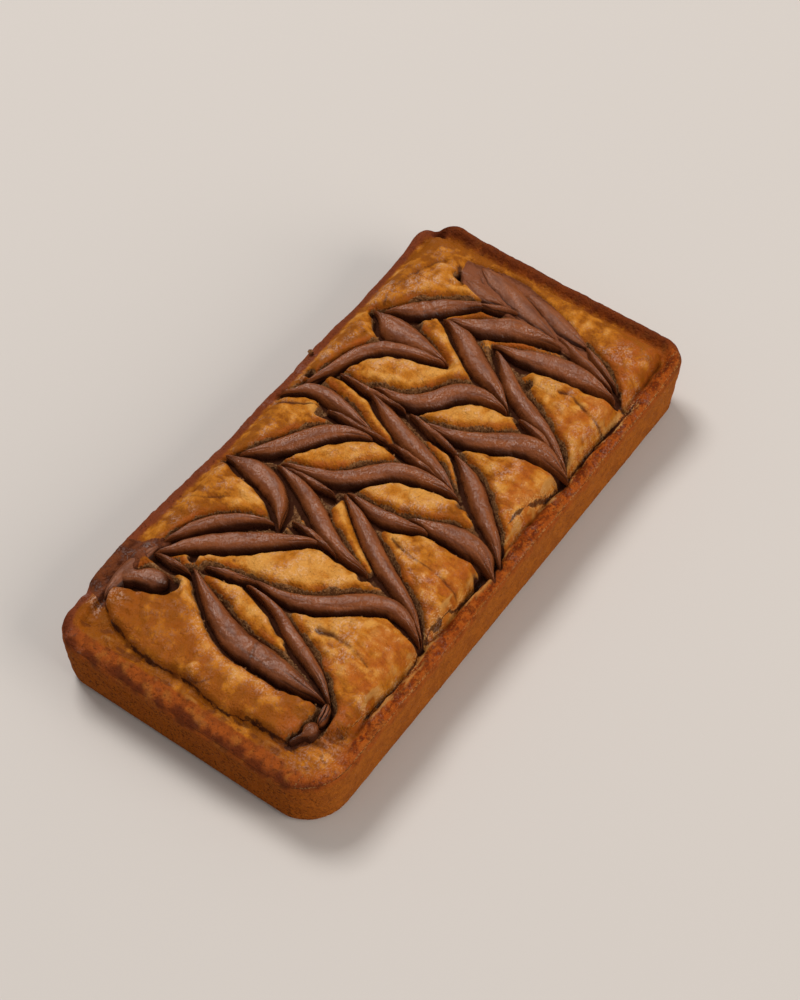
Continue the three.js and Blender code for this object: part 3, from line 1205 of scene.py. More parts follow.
@dataclass
class BakedLoaf:
    """The loaf: walls as the tin made them, a crust rim, and lobes between the ridges."""

    courses: list[Course]
    grain: Grain = field(default_factory=lambda: Grain(7))

    rim_level: float = 28.5
    crown_level: float = 34.0
    valley_level: float = 25.0
    corner: float = 13.0
    roundest_corner: float = 19.0
    taper: float = 2.8
    foot_radius: float = 3.2
    crest_inset: float = 1.2
    columns: int = 372
    rows: int = 186
    wall_rows: int = 18
    warp_reach: float = 32.0
    lobe_rise: float = 2.3
    crevice_depth: float = 3.7

    # The crease beside the first lobe, and the torn edge of the shelf outside it.
    CREASE = Fold(((-94, 57.5), (-101.4, 55), (-106.8, 51.5), (-110.8, 45), (-113, 37.5),
                   (-115, 29), (-115.7, 22), (-114.8, 14), (-114.2, 8), (-115.5, -1),
                   (-116.8, -11), (-115.8, -17), (-114, -23), (-114.2, -31), (-113.3, -39),
                   (-109.5, -43)), 0.6, 1.1, 0.95)
    FRINGE = Line(((-106, 59), (-112, 53), (-118, 40), (-120.5, 29), (-120, 17), (-119.5, 2),
                   (-118, -10), (-117.5, -24), (-117.5, -38)), 1.3)

    # Cracks and folds that stand out, each with its own course.
    CRACKS = (
        Fold(((-113.9, 6), (-114.2, 2.8), (-113.1, -0.3), (-109.8, -2.7)), 0.65, 1.1, 0.9),
        Fold(((-71.6, -22.5), (-70.4, -27), (-70.3, -31), (-71.2, -37)), 1.4, 2.3, 1.3, 0.9),
        Fold(((-71.2, -37), (-72, -42), (-73.5, -46.5)), 1.0, 1.4, 0.9, 0.5),
        Fold(((-22.2, -21), (-24.5, -28), (-25.4, -33), (-25.2, -40), (-26.4, -47.5), (-27.6, -53)),
             0.9, 1.0, 0.8, 0.6),
        Fold(((7.5, 57.6), (8.4, 52.8), (10.8, 47.6), (14.1, 42.1)), 1.0, 1.4, 1.1),
        Fold(((-49.7, 56.3), (-48.1, 51.3), (-45.5, 47), (-42, 42)), 0.9, 1.0, 0.8, 0.5),
        Fold(((-47, 57), (-38.1, 57.6), (-31, 55.4)), 0.8, 0.7, 0.5),
        Fold(((73.4, -33.7), (74.3, -38.7), (72.1, -46), (70.7, -52.5), (71.8, -57)),
             0.9, 1.5, 0.9, 1.4),
        Fold(((72.1, 51.5), (80.2, 53.3), (89.3, 51), (96, 48.6), (102, 46.5), (106.5, 42)),
             1.0, 1.3, 0.7, 1.0),
        Fold(((50.5, 51), (55, 49.5), (56.5, 44)), 0.7, 0.5, 0.3, 0.3),
        Fold(((87.9, -51), (87.4, -58)), 1.4, 2.2, 1.2),
        Fold(((106.2, 37.0), (103.2, 34.0), (100.0, 31.6)), 1.8, 2.9, 1.4),
        Fold(((20, -44), (29, -41), (38, -46)), 0.7, 0.4, 0.25, 0.35),
    )

    # The crevice inside the -Y rim, then where along it it gapes and over what length.
    CREVICE = Fold(((-86, -55.6), (-71, -57.1), (-60, -57.4), (-52, -54.9), (-44, -54.6),
                    (-34, -55.1), (-24, -56.6), (-9, -57.1), (2, -54.6), (12, -52.1), (22, -53.6),
                    (36, -56.1), (52, -56.7), (65, -56.7), (78, -58.1), (92, -58.4)), 1.4, 2.3)
    CREVICE_HOLES = ((-15.0, 7.0), (44.0, 5.0), (60.0, 6.0), (77.0, 8.0))

    # Strips of skin between two ridges, each with half its width.
    STRIPS = (
        Line(((-76, 23), (-78, 12), (-81, 2), (-83, -7), (-83, -12)), 2.7),
        Line(((-18, 6), (-24, -1), (-30, -9), (-35, -17), (-38, -20)), 2.4),
        Line(((27, 41), (26, 33), (23, 25), (19, 16), (16, 9)), 2.5),
        Line(((72, 30), (69, 21), (65, 13), (61, 7)), 3.4),
        Line(((78, 7), (72, -1), (65, -10), (61, -15)), 1.3),
        Line(((25, -4), (20, -13), (16, -20)), 1.2),
        Line(((79, 5), (84, -3), (88, -13), (91, -22)), 1.6),
        Line(((82, 25), (87, 19), (95, 6)), 1.9),
        Line(((-77, 47), (-74, 43), (-73, 40)), 1.6),
    )

    # Pockets of open crumb.
    POCKETS = (
        Pocket(-26, 22, 3.6), Pocket(-31, 18, 3.6), Pocket(-36, 18, 3.4), Pocket(-20, 11, 3.6),
        Pocket(-41, -22, 2.4, 0.6), Pocket(-40, -27, 2.6, 0.6),
        Pocket(57, -23, 2.8, 0.5), Pocket(76, -14, 3.1), Pocket(71, -21, 1.6),
        Pocket(102.8, 34.8, 2.1, 1.0), Pocket(13, 38, 2.9), Pocket(27, 56, 1.8, 0.8),
        Pocket(23, 50, 1.6, 0.6), Pocket(70, 34.5, 2.9, 0.7), Pocket(-86, 36, 2.6, 1.0),
        Pocket(-72, 37, 1.8, 1.0), Pocket(9, -34, 2.9, 0.5), Pocket(7, -40, 2.9, 0.6),
        Pocket(12, -29, 2.6, 0.5), Pocket(-15, 41, 3.1, 0.8), Pocket(-14, 14, 2.9, 0.9),
        Pocket(-17, -18, 2.6, 0.9), Pocket(88, -53, 1.6, 1.0), Pocket(44.5, -56, 2.2, 1.0),
        Pocket(-15, -56.5, 2.2, 1.0), Pocket(-39, 21, 2.6, 0.5),
    )

    # A streak beside the first ridge, where a painted highlight lies as pale sheen grains on lighter
    # skin, and small holes in the skin.
    DUSTED = Line(((-95, 16), (-98, 10), (-101, 2), (-102.5, -7), (-102.5, -17), (-103, -26)), 3.0)
    PORES = ((-96.5, -36.5), (-110.0, -52.5), (-27.5, -54.0), (-64.5, 22.5), (-99.0, -53.0))
    PORE = 0.9
    PORE_SHADE = 1.0

    # Where chocolate lies thin on the crust.
    SMEARS = (
        Spread(((-105, 54, 1.5), (-100, 58.0, 4.5), (-91, 58.5, 6.5), (-83, 58.5, 6.0),
                (-76, 53, 3.4), (-72, 50, 2.0))),
        Spread(((110, 34.5, 2.2), (106.5, 28.5, 6.6), (106, 20, 8.8), (106, 10, 9.0),
                (104.5, 0, 8.2), (102.5, -10, 7.0), (99.5, -21, 5.0), (97, -30, 3.0))),
    )

    # Single places with their reach: a blister, a corner without a browned edge, a place
    # where the skin comes close to the ridges, and a knob with a dent beside it. Then
    # the middle of the rim's bulge.
    BLISTER = ((-75.3, -36.0), 5.0)
    BALD_CORNER = ((-110.0, -53.0), 12.0)
    TIGHT = ((-106.0, -49.0), 12.0)
    KNOB = (-111.0, 5.2)
    KNOB_RADIUS = 3.2
    KNOB_DENT = ((-108.6, 7.4), 2.0)
    BULGE_MIDDLE = -72.0

    # Where the rim stands up and where it broke away: how far, the place and its reach.
    RIM_PEAKS = ((2.0, (113.0, 61.0), 4.5), (1.6, (126.0, 50.0), 5.0))
    RIM_BREAKS = ((10.0, (120.5, 57.5), 3.0), (2.2, (-104.0, 63.0), 2.4))

    # Stretches of the loaf over which something comes in, from none to all of it.
    HIGH_RIM = (90.0, 122.0)
    SLOPING_RIM = (95.0, 118.0)
    BROWN_SHELF = (108.0, 117.0)
    SCORCHED = (118.5, 124.5)
    SCORCHED_WALL = (104.0, 121.0)
    SLAB = (80.0, 90.0)
    FIRST_LOBE = (-84.0, -94.0)
    BROWN_LOBE = (-84.0, -96.0)
    CHARRED = (-112.0, -122.0)
    LEFT_RIM = (50.0, 60.0)
    FULL_RIM = (-20.0, -60.0)
    WHOLE_RIM = (-106.0, -98.0)
    BULGING_SIDE = (46.0, 60.0)
    BULGING = (-108.0, -98.0)
    BULGING_CORNER = (-120.0, -100.0)
    FIRST_LOBE_SIDE = (59.0, 55.0)
    DULL_LOBE = (-86.0, -98.0)
    DULL_LOBE_SIDE = (48.0, 40.0)
    SHINY = (116.0, 104.0)
    RUDDY_SIDE = (-30.0, -46.0)
    RUDDY_END = (-88.0, -100.0)
    BROWN_RIGHT = (-22.0, -46.0)
    BROWN_LEFT = (34.0, 54.0)
    BROWN_END = (86.0, 104.0)

    # What the walls' finish reads where the top has something and they don't: none of
    # some marks, and distances that are too great for a line to show.
    TOP_ONLY = ("crumb", "low", "gap", "line", "sheen", "torn", "flaky", "slab")
    NO_LINE = {"crease": 3.0, "crack": 4.0, "seam": 6.0}

    # Rows of the wall: how far in and how far below the rim's crest the rounded edge's
    # rows lie, and how far in those under the foot do.
    EDGE_ROWS = ((0.4, 1.0), (0.0, 2.4))
    FOOT_TURNS = (22.5, 45.0, 67.5, 90.0)
    UNDER_ROWS = (9.0, 14.0, 24.0)

    def __post_init__(self) -> None:
        """Reads the loaf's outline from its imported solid."""
        low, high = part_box("loaf")
        self.half_x = (high.x - low.x) / 2 / MM
        self.half_y = (high.y - low.y) / 2 / MM

    # Outline and levels.

    def inset(self, x: Array, y: Array) -> tuple[Array, Array]:
        """How far in from the outline points are.

        Args:
            x: The points' places along the loaf.
            y: The points' places across it.

        Returns:
            The inset, and the way that the nearest part of the outline faces.
        """
        radius = np.where((x < 0) & (y < 0), self.roundest_corner, self.corner)
        past_x = np.abs(x) - self.half_x + radius
        past_y = np.abs(y) - self.half_y + radius
        round_off = np.hypot(np.maximum(past_x, 0.0), np.maximum(past_y, 0.0))
        inset = radius - round_off - np.minimum(np.maximum(past_x, past_y), 0.0)
        in_corner = (past_x > 0) & (past_y > 0)
        reach = np.maximum(round_off, TINY)
        facing_x = np.where(in_corner, past_x / reach, (past_x >= past_y).astype(float))
        facing_y = np.where(in_corner, past_y / reach, (past_x < past_y).astype(float))
        facing = np.stack([facing_x * np.sign(x), facing_y * np.sign(y)], 1)
        return inset, facing

    def crown(self, x: Array, y: Array) -> Array:
        """The smooth crown that lobes and ridges rise from.

        Args:
            x: Places along the loaf.
            y: Places across it.

        Returns:
            Its level.
        """
        across = 1.0 - (np.abs(y) / self.half_y) ** 8
        along = 1.0 - (np.abs(x) / self.half_x) ** 10
        height = self.crown_level - self.valley_level
        return self.valley_level + height * np.clip(across, 0, 1) * np.clip(along, 0, 1)

    def rim(self, x: Array, y: Array) -> Array:
        """The rim's crest, uneven as it baked and lowest where it broke.

        Args:
            x: Places along the loaf.
            y: Places across it.

        Returns:
            Its height.
        """
        waves = 0.5 * np.sin(x / 17 + 1) + 0.4 * np.sin(x / 7.3 - y / 11)
        far = 2.0 * rise(*self.HIGH_RIM, x)
        full = 1.6 * rise(*self.FULL_RIM, x) * rise(*self.WHOLE_RIM, x) * rise(*self.LEFT_RIM, y)
        peaks = sum(up * spot(x, y, place, reach) for up, place, reach in self.RIM_PEAKS)
        broken = sum(down * spot(x, y, place, reach) for down, place, reach in self.RIM_BREAKS)
        return self.rim_level + waves + far + full + peaks - broken

    def bulge(self, x: Array, y: Array) -> Array:
        """How far the rim stands out over the tin's edge on the +Y side.

        Args:
            x: Places along the loaf.
            y: Places across it.

        Returns:
            The bulge.
        """
        long_part = 1.8 * bell(x - self.BULGE_MIDDLE, 30.0) * rise(*self.BULGING, x)
        return (long_part + 0.8 * rise(*self.BULGING_CORNER, x)) * rise(*self.BULGING_SIDE, y)

    # Parts of the surface.

    def lattice(self) -> tuple[Array, Array]:
        """The places of the top's points: a grid whose corners are rounded off.

        Returns:
            Their places along and across the loaf, one row of the grid after another.
        """
        half_x, half_y = self.half_x - self.crest_inset, self.half_y - self.crest_inset
        x, y = np.meshgrid(np.linspace(-half_x, half_x, self.columns + 1),
                           np.linspace(-half_y, half_y, self.rows + 1))
        x, y = x.ravel(), y.ravel()
        radius = np.where((x < 0) & (y < 0), self.roundest_corner, self.corner)
        radius = radius - self.crest_inset
        past_x = np.abs(x) - half_x + self.warp_reach
        past_y = np.abs(y) - half_y + self.warp_reach
        corner = (past_x > 0) & (past_y > 0)
        past_x, past_y = np.maximum(past_x, TINY), np.maximum(past_y, TINY)
        ring = np.maximum(past_x, past_y)
        bend = radius * (ring / self.warp_reach) ** 2
        length = np.hypot(past_x, past_y)
        way_x, way_y = past_x / length, past_y / length
        centre = ring - bend
        reach = centre * (way_x + way_y)
        inner = np.sqrt(np.maximum(reach**2 - 2 * centre**2 + bend**2, 0.0))
        curved = np.minimum(past_x, past_y) > centre
        scale = np.where(corner & curved, (reach + inner) / length, 1.0)
        shift_x = np.where(corner, past_x * (scale - 1.0), 0.0)
        shift_y = np.where(corner, past_y * (scale - 1.0), 0.0)
        return x + np.sign(x) * shift_x, y + np.sign(y) * shift_y

    def ground(self, x: Array, y: Array) -> Ground:
        """Works out what shapes the top.

        Args:
            x: The points' places along the loaf.
            y: Their places across it.

        Returns:
            The points with their noises and the rim's section beside them.
        """
        flat = floor_points(x, y)
        coarse = self.grain.layered(flat, 18.0, 2)
        medium = self.grain.layered(flat + 91.0, 6.0, 2)
        rugged = self.grain.layered(flat + 17.0, 2.6, 2)
        inset, facing = self.inset(x, y)
        weights = [side.weight(facing) for side in Side]
        total = sum(weights)
        band, valley, cut, shoulder = (
            sum(weight * getattr(side.section, key) for side, weight in zip(Side, weights)) / total
            for key in ("band", "valley", "cut", "shoulder")
        )
        band, valley = band + 0.7 * medium, valley + 0.5 * medium + 0.5 * coarse
        return Ground(x, y, inset, facing, coarse, medium, rugged, band, valley, cut, shoulder)

    def lobes(self, ground: Ground, near: Nearness,
              smeared: Array) -> tuple[Array, Array, Array, Array]:
        """Where the skin stands up between the ridges.

        Args:
            ground: The points.
            near: How far the points are from the ridges.
            smeared: Where chocolate lies thin on the crust, from 0 to 1.

        Returns:
            Where there is skin, 0 to 1, how far up the points lie from the trenches'
            floor, 0 to 1, how much painted shade lies at the lobes' feet and in the pockets,
            and how much room there is between the ridges, in millimetres.
        """
        x, y = ground.x, ground.y
        flat = floor_points(x, y)
        ragged = 0.5 * self.grain.at(flat + 91.0, 3.5) + 0.2 * self.grain.at(flat + 17.0, 1.8)
        slack = rise(-0.35, 0.55, near.sloping)
        tight = 1.0 - 0.8 * spot(x, y, *self.TIGHT)
        spread = np.clip(1.0 + 1.3 * self.grain.at(flat + 55.0, 9.0), 0.35, 2.4)
        begin = between((0.85 + 0.55 * spread) * tight, -0.4, slack)
        reach = between(1.5, 2.6 * spread, slack) * (0.4 + 0.6 * tight)
        out = near.edge + ragged - begin
        skin = 1.0 - (1.0 - np.clip(out / reach, 0.0, 1.0)) ** 1.8
        room = np.maximum(near.second, 0.0) + np.maximum(near.edge, 0.0)
        skin = skin * rise(1.2, 5.5, room)
        # Painted shade in the trenches at the lobes' feet, widest where a lobe stands in front of a
        # ridge.
        dark = between(rise(0.62, 0.25, skin), 0.85 * rise(0.22, 0.02, skin), slack) * tight
        for line in self.STRIPS:
            distance, _ = line.distance(x, y)
            strip = rise(line.width + 1.0, line.width - 1.0, distance + ragged)
            strip = strip * rise(-0.4, 0.8, near.edge)
            skin = np.maximum(skin, 0.97 * strip)
            dark = dark * (1.0 - strip)
        for pocket in self.POCKETS:
            hole = rise(0.2, 0.75, pocket.at(x, y) + 0.3 * ragged)
            skin = skin * (1.0 - hole)
            dark = np.maximum(dark, hole * pocket.dark)
        skin, dark = np.maximum(skin, smeared), dark * (1.0 - smeared)
        return skin, skin * (0.7 + 0.3 * swell(out / 6.5)), dark, room

    def relief(self, x: Array, y: Array) -> tuple[Array, dict[str, Array]]:
        """The baked top.

        Args:
            x: The points' places along the loaf.
            y: The points' places across it.

        Returns:
            The points' heights, and the values that the crust's finish reads.
        """
        ground = self.ground(x, y)
        inset, coarse, medium, rugged = ground.inset, ground.coarse, ground.medium, ground.rugged
        band, valley = ground.band, ground.valley
        near = Nearness.of(x, y, [course for course in self.courses if not course.lay.flat])
        slabs = Nearness.of(x, y, [course for course in self.courses if course.lay.flat])
        inside = np.maximum(*(smear.depth(x, y) for smear in self.SMEARS)) + 0.5 * medium
        smeared = rise(-0.5, 0.5, inside + 0.3 * rugged)
        bare = 1.0 - smeared
        skin, lobe, dark, room = self.lobes(ground, near, smeared)
        pleats, wrinkle, pleat_shade = self._pleats(ground, near)
        dome = rise(1.0, 9.0, near.edge) + 0.8 * coarse + 0.6 * medium + 0.25 * rugged
        dome += pleats

        height = self.crown(x, y) - self.crevice_depth
        height = height + (self.crevice_depth + self.lobe_rise * rise(0.5, 8.0, room)) * lobe
        height += (dome - 0.5 * wrinkle) * lobe
        height += rise(1.0, 0.6, skin) * (0.32 * rugged + 0.3 * medium)
        from_valley = swell((inset - valley) / between(7.0, 3.6, ground.cut))
        excess = np.maximum(height - self.rim_level + 4.5, 0.0)
        height -= (1.0 - from_valley) * ground.cut * excess
        height, inner, flaky = self._rimmed(ground, height)

        height, on_shelf, lines, torn, crease = self._crease(ground, height)
        height, lines, crack = self._cracked(ground, height, np.maximum(lines, 0.25 * wrinkle))
        crevice, holes, seam, lips = self._crevice(ground)
        height += 1.4 * lips - self.CREVICE.depth * crevice
        torn = np.maximum(torn, lips)
        blister = spot(x, y, *self.BLISTER)
        knob = swell(1.0 - np.hypot(x - self.KNOB[0], y - self.KNOB[1]) / self.KNOB_RADIUS)
        height += 0.9 * blister * (rugged + 0.6 * medium)
        height += 2.6 * knob - 0.9 * spot(x, y, *self.KNOB_DENT)
        for pore in self.PORES:
            height -= 0.9 * spot(x, y, pore, self.PORE)
            lines = np.maximum(lines, spot(x, y, pore, self.PORE_SHADE) * 0.9)

        # Painted shadow along the slabs' edges that face the camera, laid into the gap value below.
        foot = rise(0.3, -0.5, slabs.sloping) * bell(slabs.edge - 0.3, 0.8)
        on_slab = rise(*self.SLAB, x)
        bed = between(height, self.crown(x, y) + 0.5 - 1.6 * foot, on_slab)
        height = between(height, bed + 0.3 * medium, smeared * rise(0.0, 3.0, inset - band))

        corner = spot(x, y, *self.BALD_CORNER)
        stain = rise(1.1, -0.3, near.edge + 0.6 * medium) * rise(1.0, 0.4, skin)
        by_rim = Side.RIGHT.weight(ground.facing) * rise(valley + 4.0, valley - 1.0, inset)
        crumb = rise(0.93, 0.7, skin) * inner * (1.0 - on_shelf)
        crumb = crumb * (1.0 - by_rim) + 0.3 * crevice
        # Browner in the hollows of the relief and more golden on its bumps: painted shade. The
        # shelf's corner is more golden in its own colour.
        tone = self._tone(ground, near) - 0.45 * medium - 0.15 * rugged - 0.7 * corner
        ruddy = (self._ruddy(ground, near) + 0.6 * blister) * (1.0 - torn) * (1.0 - 0.7 * on_shelf)
        sheen = self._sheen(ground, near) + 0.5 * corner + knob + blister
        charred = rise(*self.CHARRED, x) * rise(4.2, 1.6, inset + 3.0 * medium + coarse) * 0.85
        scorch = 0.75 * rise(*self.SCORCHED, x + 2.5 * medium) + charred
        values = {
            "crumb": np.clip(crumb, 0, 1) * bare,
            # low: painted shade with chocolate stain at the trench floors and between crowded
            # ridges.
            "low": np.clip(rise(0.9, 0.2, skin) + 0.7 * rise(4.5, 1.5, room), 0, 1),
            "gap": np.maximum(np.clip(dark * inner + holes, 0, 1) * bare, 0.7 * foot * smeared),
            "crease": np.clip(crease, -3.0, 3.0),
            "crack": np.clip(crack, -4.0, 4.0),
            "seam": seam,
            "flaky": flaky,
            "rim": np.clip(1.0 - rise(band - 1.0, valley + 0.8, inset) - corner, 0, 1),
            "slab": on_slab,
            "line": np.clip(lines + 0.5 * crevice, 0, 1.2) * bare,
            "stain": np.clip(smeared * 1.1 + 0.9 * stain, 0, 1.1),
            "tone": tone - 0.7 * knob + pleat_shade,
            "torn": torn,
            "ruddy": ruddy,
            "sheen": np.clip(sheen, 0, 1),
            "scorch": np.clip(scorch, 0, 1),
            "blush": rise(*self.LEFT_RIM, y) * (1.0 - inner),
            "wall": np.zeros_like(x),
        }
        return height, values

    def _pleats(self, ground: Ground, near: Nearness) -> tuple[Array, Array, Array]:
        """The fine pleats across the lobes.

        Args:
            ground: The points.
            near: How far the points are from the ridges.

        Returns:
            How far the pleats rise, the wrinkles between them, from 0 to 1, and the painted
            shade that browns the folds between them.
        """
        fan = floor_points(ground.x * 1.4, ground.y * 0.55)
        fan = np.abs(self.grain.layered(fan + 311.0, 8.0, 3))
        pleated = rise(0.6, 3.0, near.edge) * rise(4.0, 40.0, np.abs(ground.y))
        wrinkle = bell(fan, 0.06) * rise(-0.5, 0.3, ground.coarse) * pleated
        return (1.5 * np.minimum(fan, 0.7) - 0.4) * pleated, wrinkle, 0.4 * bell(fan, 0.16) * pleated

    def _rimmed(self, ground: Ground, height: Array) -> tuple[Array, Array, Array]:
        """Sets the rim round the top.

        Args:
            ground: The points.
            height: Their heights without the rim.

        Returns:
            Their heights, how much they lie inside the rim, from 0 to 1, and how flaky
            the rim is.
        """
        inset = ground.inset
        flakes = floor_points(ground.x * 0.6, ground.y * 1.4)
        flakes = self.grain.layered(flakes + 501.0, 3.2, 3)
        flaky = Side.RIGHT.weight(ground.facing) * rise(0.8, 2.4, inset)
        rim = self.rim(ground.x, ground.y) + 0.3 * ground.medium + 0.3 * ground.rugged
        rim = rim + 0.6 * flakes * flaky
        inner = rise(ground.band, ground.valley, inset)
        edge_drop = np.clip(1.0 - inset / ground.shoulder, 0.0, 1.0) ** 2 * 0.5 * ground.shoulder
        inwards = np.clip(inset - 3.0, 0.0, 6.0)
        slope = between(0.0, 0.55, rise(*self.SLOPING_RIM, ground.x)) * inwards
        height = between(rim - edge_drop - slope - 0.12 * inwards, height, inner)
        return height, inner, flaky * (1.0 - inner) * (0.7 + 0.5 * rise(0.2, -0.3, flakes))

    def _crease(self, ground: Ground,
                height: Array) -> tuple[Array, Array, Array, Array, Array]:
        """The shelf at the -X end, its torn flakes, and the crease beside the first lobe.

        Args:
            ground: The points.
            height: Their heights without these.

        Returns:
            Their heights, how much they lie on the shelf, the painted shade in the lines and
            the hollows of the shelf and its torn edge, and the torn flakes, each from 0 to 1,
            and how far beyond the crease the points are, which sets the painted shade along it.
        """
        medium, rugged = ground.medium, ground.rugged
        distance, side = self.CREASE.distance(ground.x, ground.y)
        signed = distance * side + 0.35 * medium
        end = rise(*self.FIRST_LOBE, ground.x) * rise(*self.FIRST_LOBE_SIDE, ground.y)
        outside = rise(0.5, -0.5, signed)
        on_shelf = outside * end * rise(6.0, 8.5, ground.inset)
        folds = floor_points(ground.x * 1.6, ground.y * 0.5)
        folds = self.grain.layered(folds + 211.0, 4.5, 2)
        shelf = self.rim(ground.x, ground.y) - 0.7
        shelf = shelf + 0.5 * ground.coarse + 0.3 * medium + 0.9 * folds
        fall = (1.0 - swell(np.maximum(signed, 0.0) / 4.0)) * (1.0 - outside) * end
        height = height - fall
        height = between(height, np.minimum(shelf, height + 2.5), on_shelf)
        groove = bell(signed, self.CREASE.width) * end
        height = height - self.CREASE.depth * groove
        away, _ = self.FRINGE.distance(ground.x, ground.y)
        fringe = bell(away + 0.8 * medium, self.FRINGE.width)
        fringe = fringe * rise(-0.5, 0.3, folds + ground.coarse)
        height += fringe * (0.7 + 1.2 * rugged)
        torn = 0.4 * fringe * rise(-0.2, 0.3, rugged) + 0.3 * on_shelf * rise(0.1, 0.6, folds)
        lines = np.maximum(groove * self.CREASE.dark * 0.3, fringe * rise(0.1, -0.3, rugged) * 0.7)
        lines = np.maximum(lines, 0.9 * on_shelf * rise(-0.1, -0.5, folds))
        signed = signed + np.where(signed < 0, -4.0, 4.0) * (1.0 - end)
        return height, on_shelf, lines, np.clip(torn, 0, 1), signed

    def _cracked(self, ground: Ground, height: Array,
                 lines: Array) -> tuple[Array, Array, Array]:
        """Opens the cracks in the skin.

        Args:
            ground: The points.
            height: Their heights without cracks.
            lines: How much painted shade lies in the other lines, from 0 to 1.

        Returns:
            Their heights, how much painted shade lies in all the lines, and how far to the
            left of a crack the points are, in widths of it, which sets the painted shade along it.
        """
        x, y = ground.x, ground.y
        vary = rise(-0.6, 0.5, self.grain.at(floor_points(x, y) + 131.0, 7.0))
        nearest = np.full(x.shape, np.inf)
        for crack in self.CRACKS:
            distance, side = crack.distance(x, y)
            place = (side * distance + 0.3 * ground.rugged) / crack.width
            nearest = np.where(np.abs(place) < np.abs(nearest), place, nearest)
            wobble = distance + 0.3 * ground.rugged
            groove = bell(wobble, crack.width) * between(0.45, 1.0, vary)
            height -= crack.depth * groove
            height += crack.lift * np.exp(-wobble / 4.0) * (side > 0) * (distance < 14.0)
            lines = np.maximum(lines, groove * crack.dark * 0.8)
        return height, lines, nearest

    def _crevice(self, ground: Ground) -> tuple[Array, Array, Array, Array]:
        """The crevice inside the -Y rim.

        Args:
            ground: The points.

        Returns:
            Its depth, from 0 to 1, the painted shade in its holes, how far to the left of
            its middle line the points are, which sets the painted shade along it, and its torn lips.
        """
        x, medium = ground.x, ground.medium
        distance, side = self.CREVICE.distance(x, ground.y)
        holes = sum(bell(x - place, reach) for place, reach in self.CREVICE_HOLES)
        holes = np.clip(holes, 0.0, 1.0)
        wobble = distance + 0.7 * medium + 0.4 * ground.rugged
        depth = bell(wobble, self.CREVICE.width) * (0.45 + 0.55 * holes)
        closed = 1.0 - rise(-0.7, 0.2, medium + 1.2 * holes)
        seam = np.clip(side * distance + 0.4 * medium, -4.0, 4.0)
        seam += np.where(seam < 0, -4.0, 4.0) * closed
        strands = self.grain.layered(floor_points(x * 0.35, ground.y * 1.7) + 401.0, 3.0, 2)
        lips = bell(distance - 1.9, 1.7) * rise(-0.1, 0.35, strands)
        return depth, 0.95 * bell(wobble, 1.0) * holes, seam, lips

    def _ruddy(self, ground: Ground, near: Nearness) -> Array:
        """How orange the skin is: most on the -Y side, at the -X end and on thin edges.

        Args:
            ground: The points.
            near: How far the points are from the ridges.

        Returns:
            The orange, from 0 to 1.
        """
        places = rise(*self.RUDDY_SIDE, ground.y) + 0.35 * rise(*self.RUDDY_END, ground.x)
        thin = rise(3.2, 1.6, near.edge) * rise(-0.2, 0.6, near.sloping)
        return np.clip(places + thin, 0, 1)

    def _dusted(self, ground: Ground) -> Array:
        """How near the points are to the streak beside the first ridge, where a painted highlight
        lies.
        """
        return bell(self.DUSTED.distance(ground.x, ground.y)[0], self.DUSTED.width)

    def _sheen(self, ground: Ground, near: Nearness) -> Array:
        """Where the skin shines, which also lays the painted sheen grains: in patches on the lobes,
        and beside the first ridge.

        Args:
            ground: The points.
            near: How far the points are from the ridges.

        Returns:
            The shine, from 0 to 1.
        """
        dull = rise(*self.DULL_LOBE, ground.x) * rise(*self.DULL_LOBE_SIDE, ground.y)
        waves = rise(-0.2, 0.7, ground.coarse + ground.medium)
        patches = rise(1.0, 4.0, near.edge) * waves * rise(*self.SHINY, ground.x)
        return np.clip(patches * (1.0 - 0.8 * dull) + 0.9 * self._dusted(ground), 0, 1)

    def _tone(self, ground: Ground, near: Nearness) -> Array:
        """How brown the skin is: its baked brown, darker towards the ridges partly as the thin
        edges' own brown and partly as painted shade strongest on the slopes facing the camera, and
        lighter along the streak of painted highlight beside the first ridge.

        Args:
            ground: The points.
            near: How far the points are from the ridges.

        Returns:
            The brown, from 0 for gold to 1.2.
        """
        x, y = ground.x, ground.y
        # The streak beside the first ridge is lighter: a painted highlight.
        end = rise(*self.BROWN_LOBE, x) * 0.85 - 0.55 * self._dusted(ground)
        right = rise(*self.BROWN_RIGHT, y) * 0.25
        left = rise(*self.BROWN_LEFT, y) * 0.5
        far = rise(*self.BROWN_END, x) * 0.3 + rise(*self.BROWN_SHELF, x) * 0.45
        # Painted shade, with some of the thin edges' own brown: browner near the ridges, most on the
        # slopes facing the camera.
        thin = rise(5.0, 0.8, near.edge) * between(0.3, 0.75, rise(-0.2, 0.6, near.sloping))
        return np.clip(0.08 + end + right + left + far + thin + 0.15 * ground.coarse, 0, 1.2)

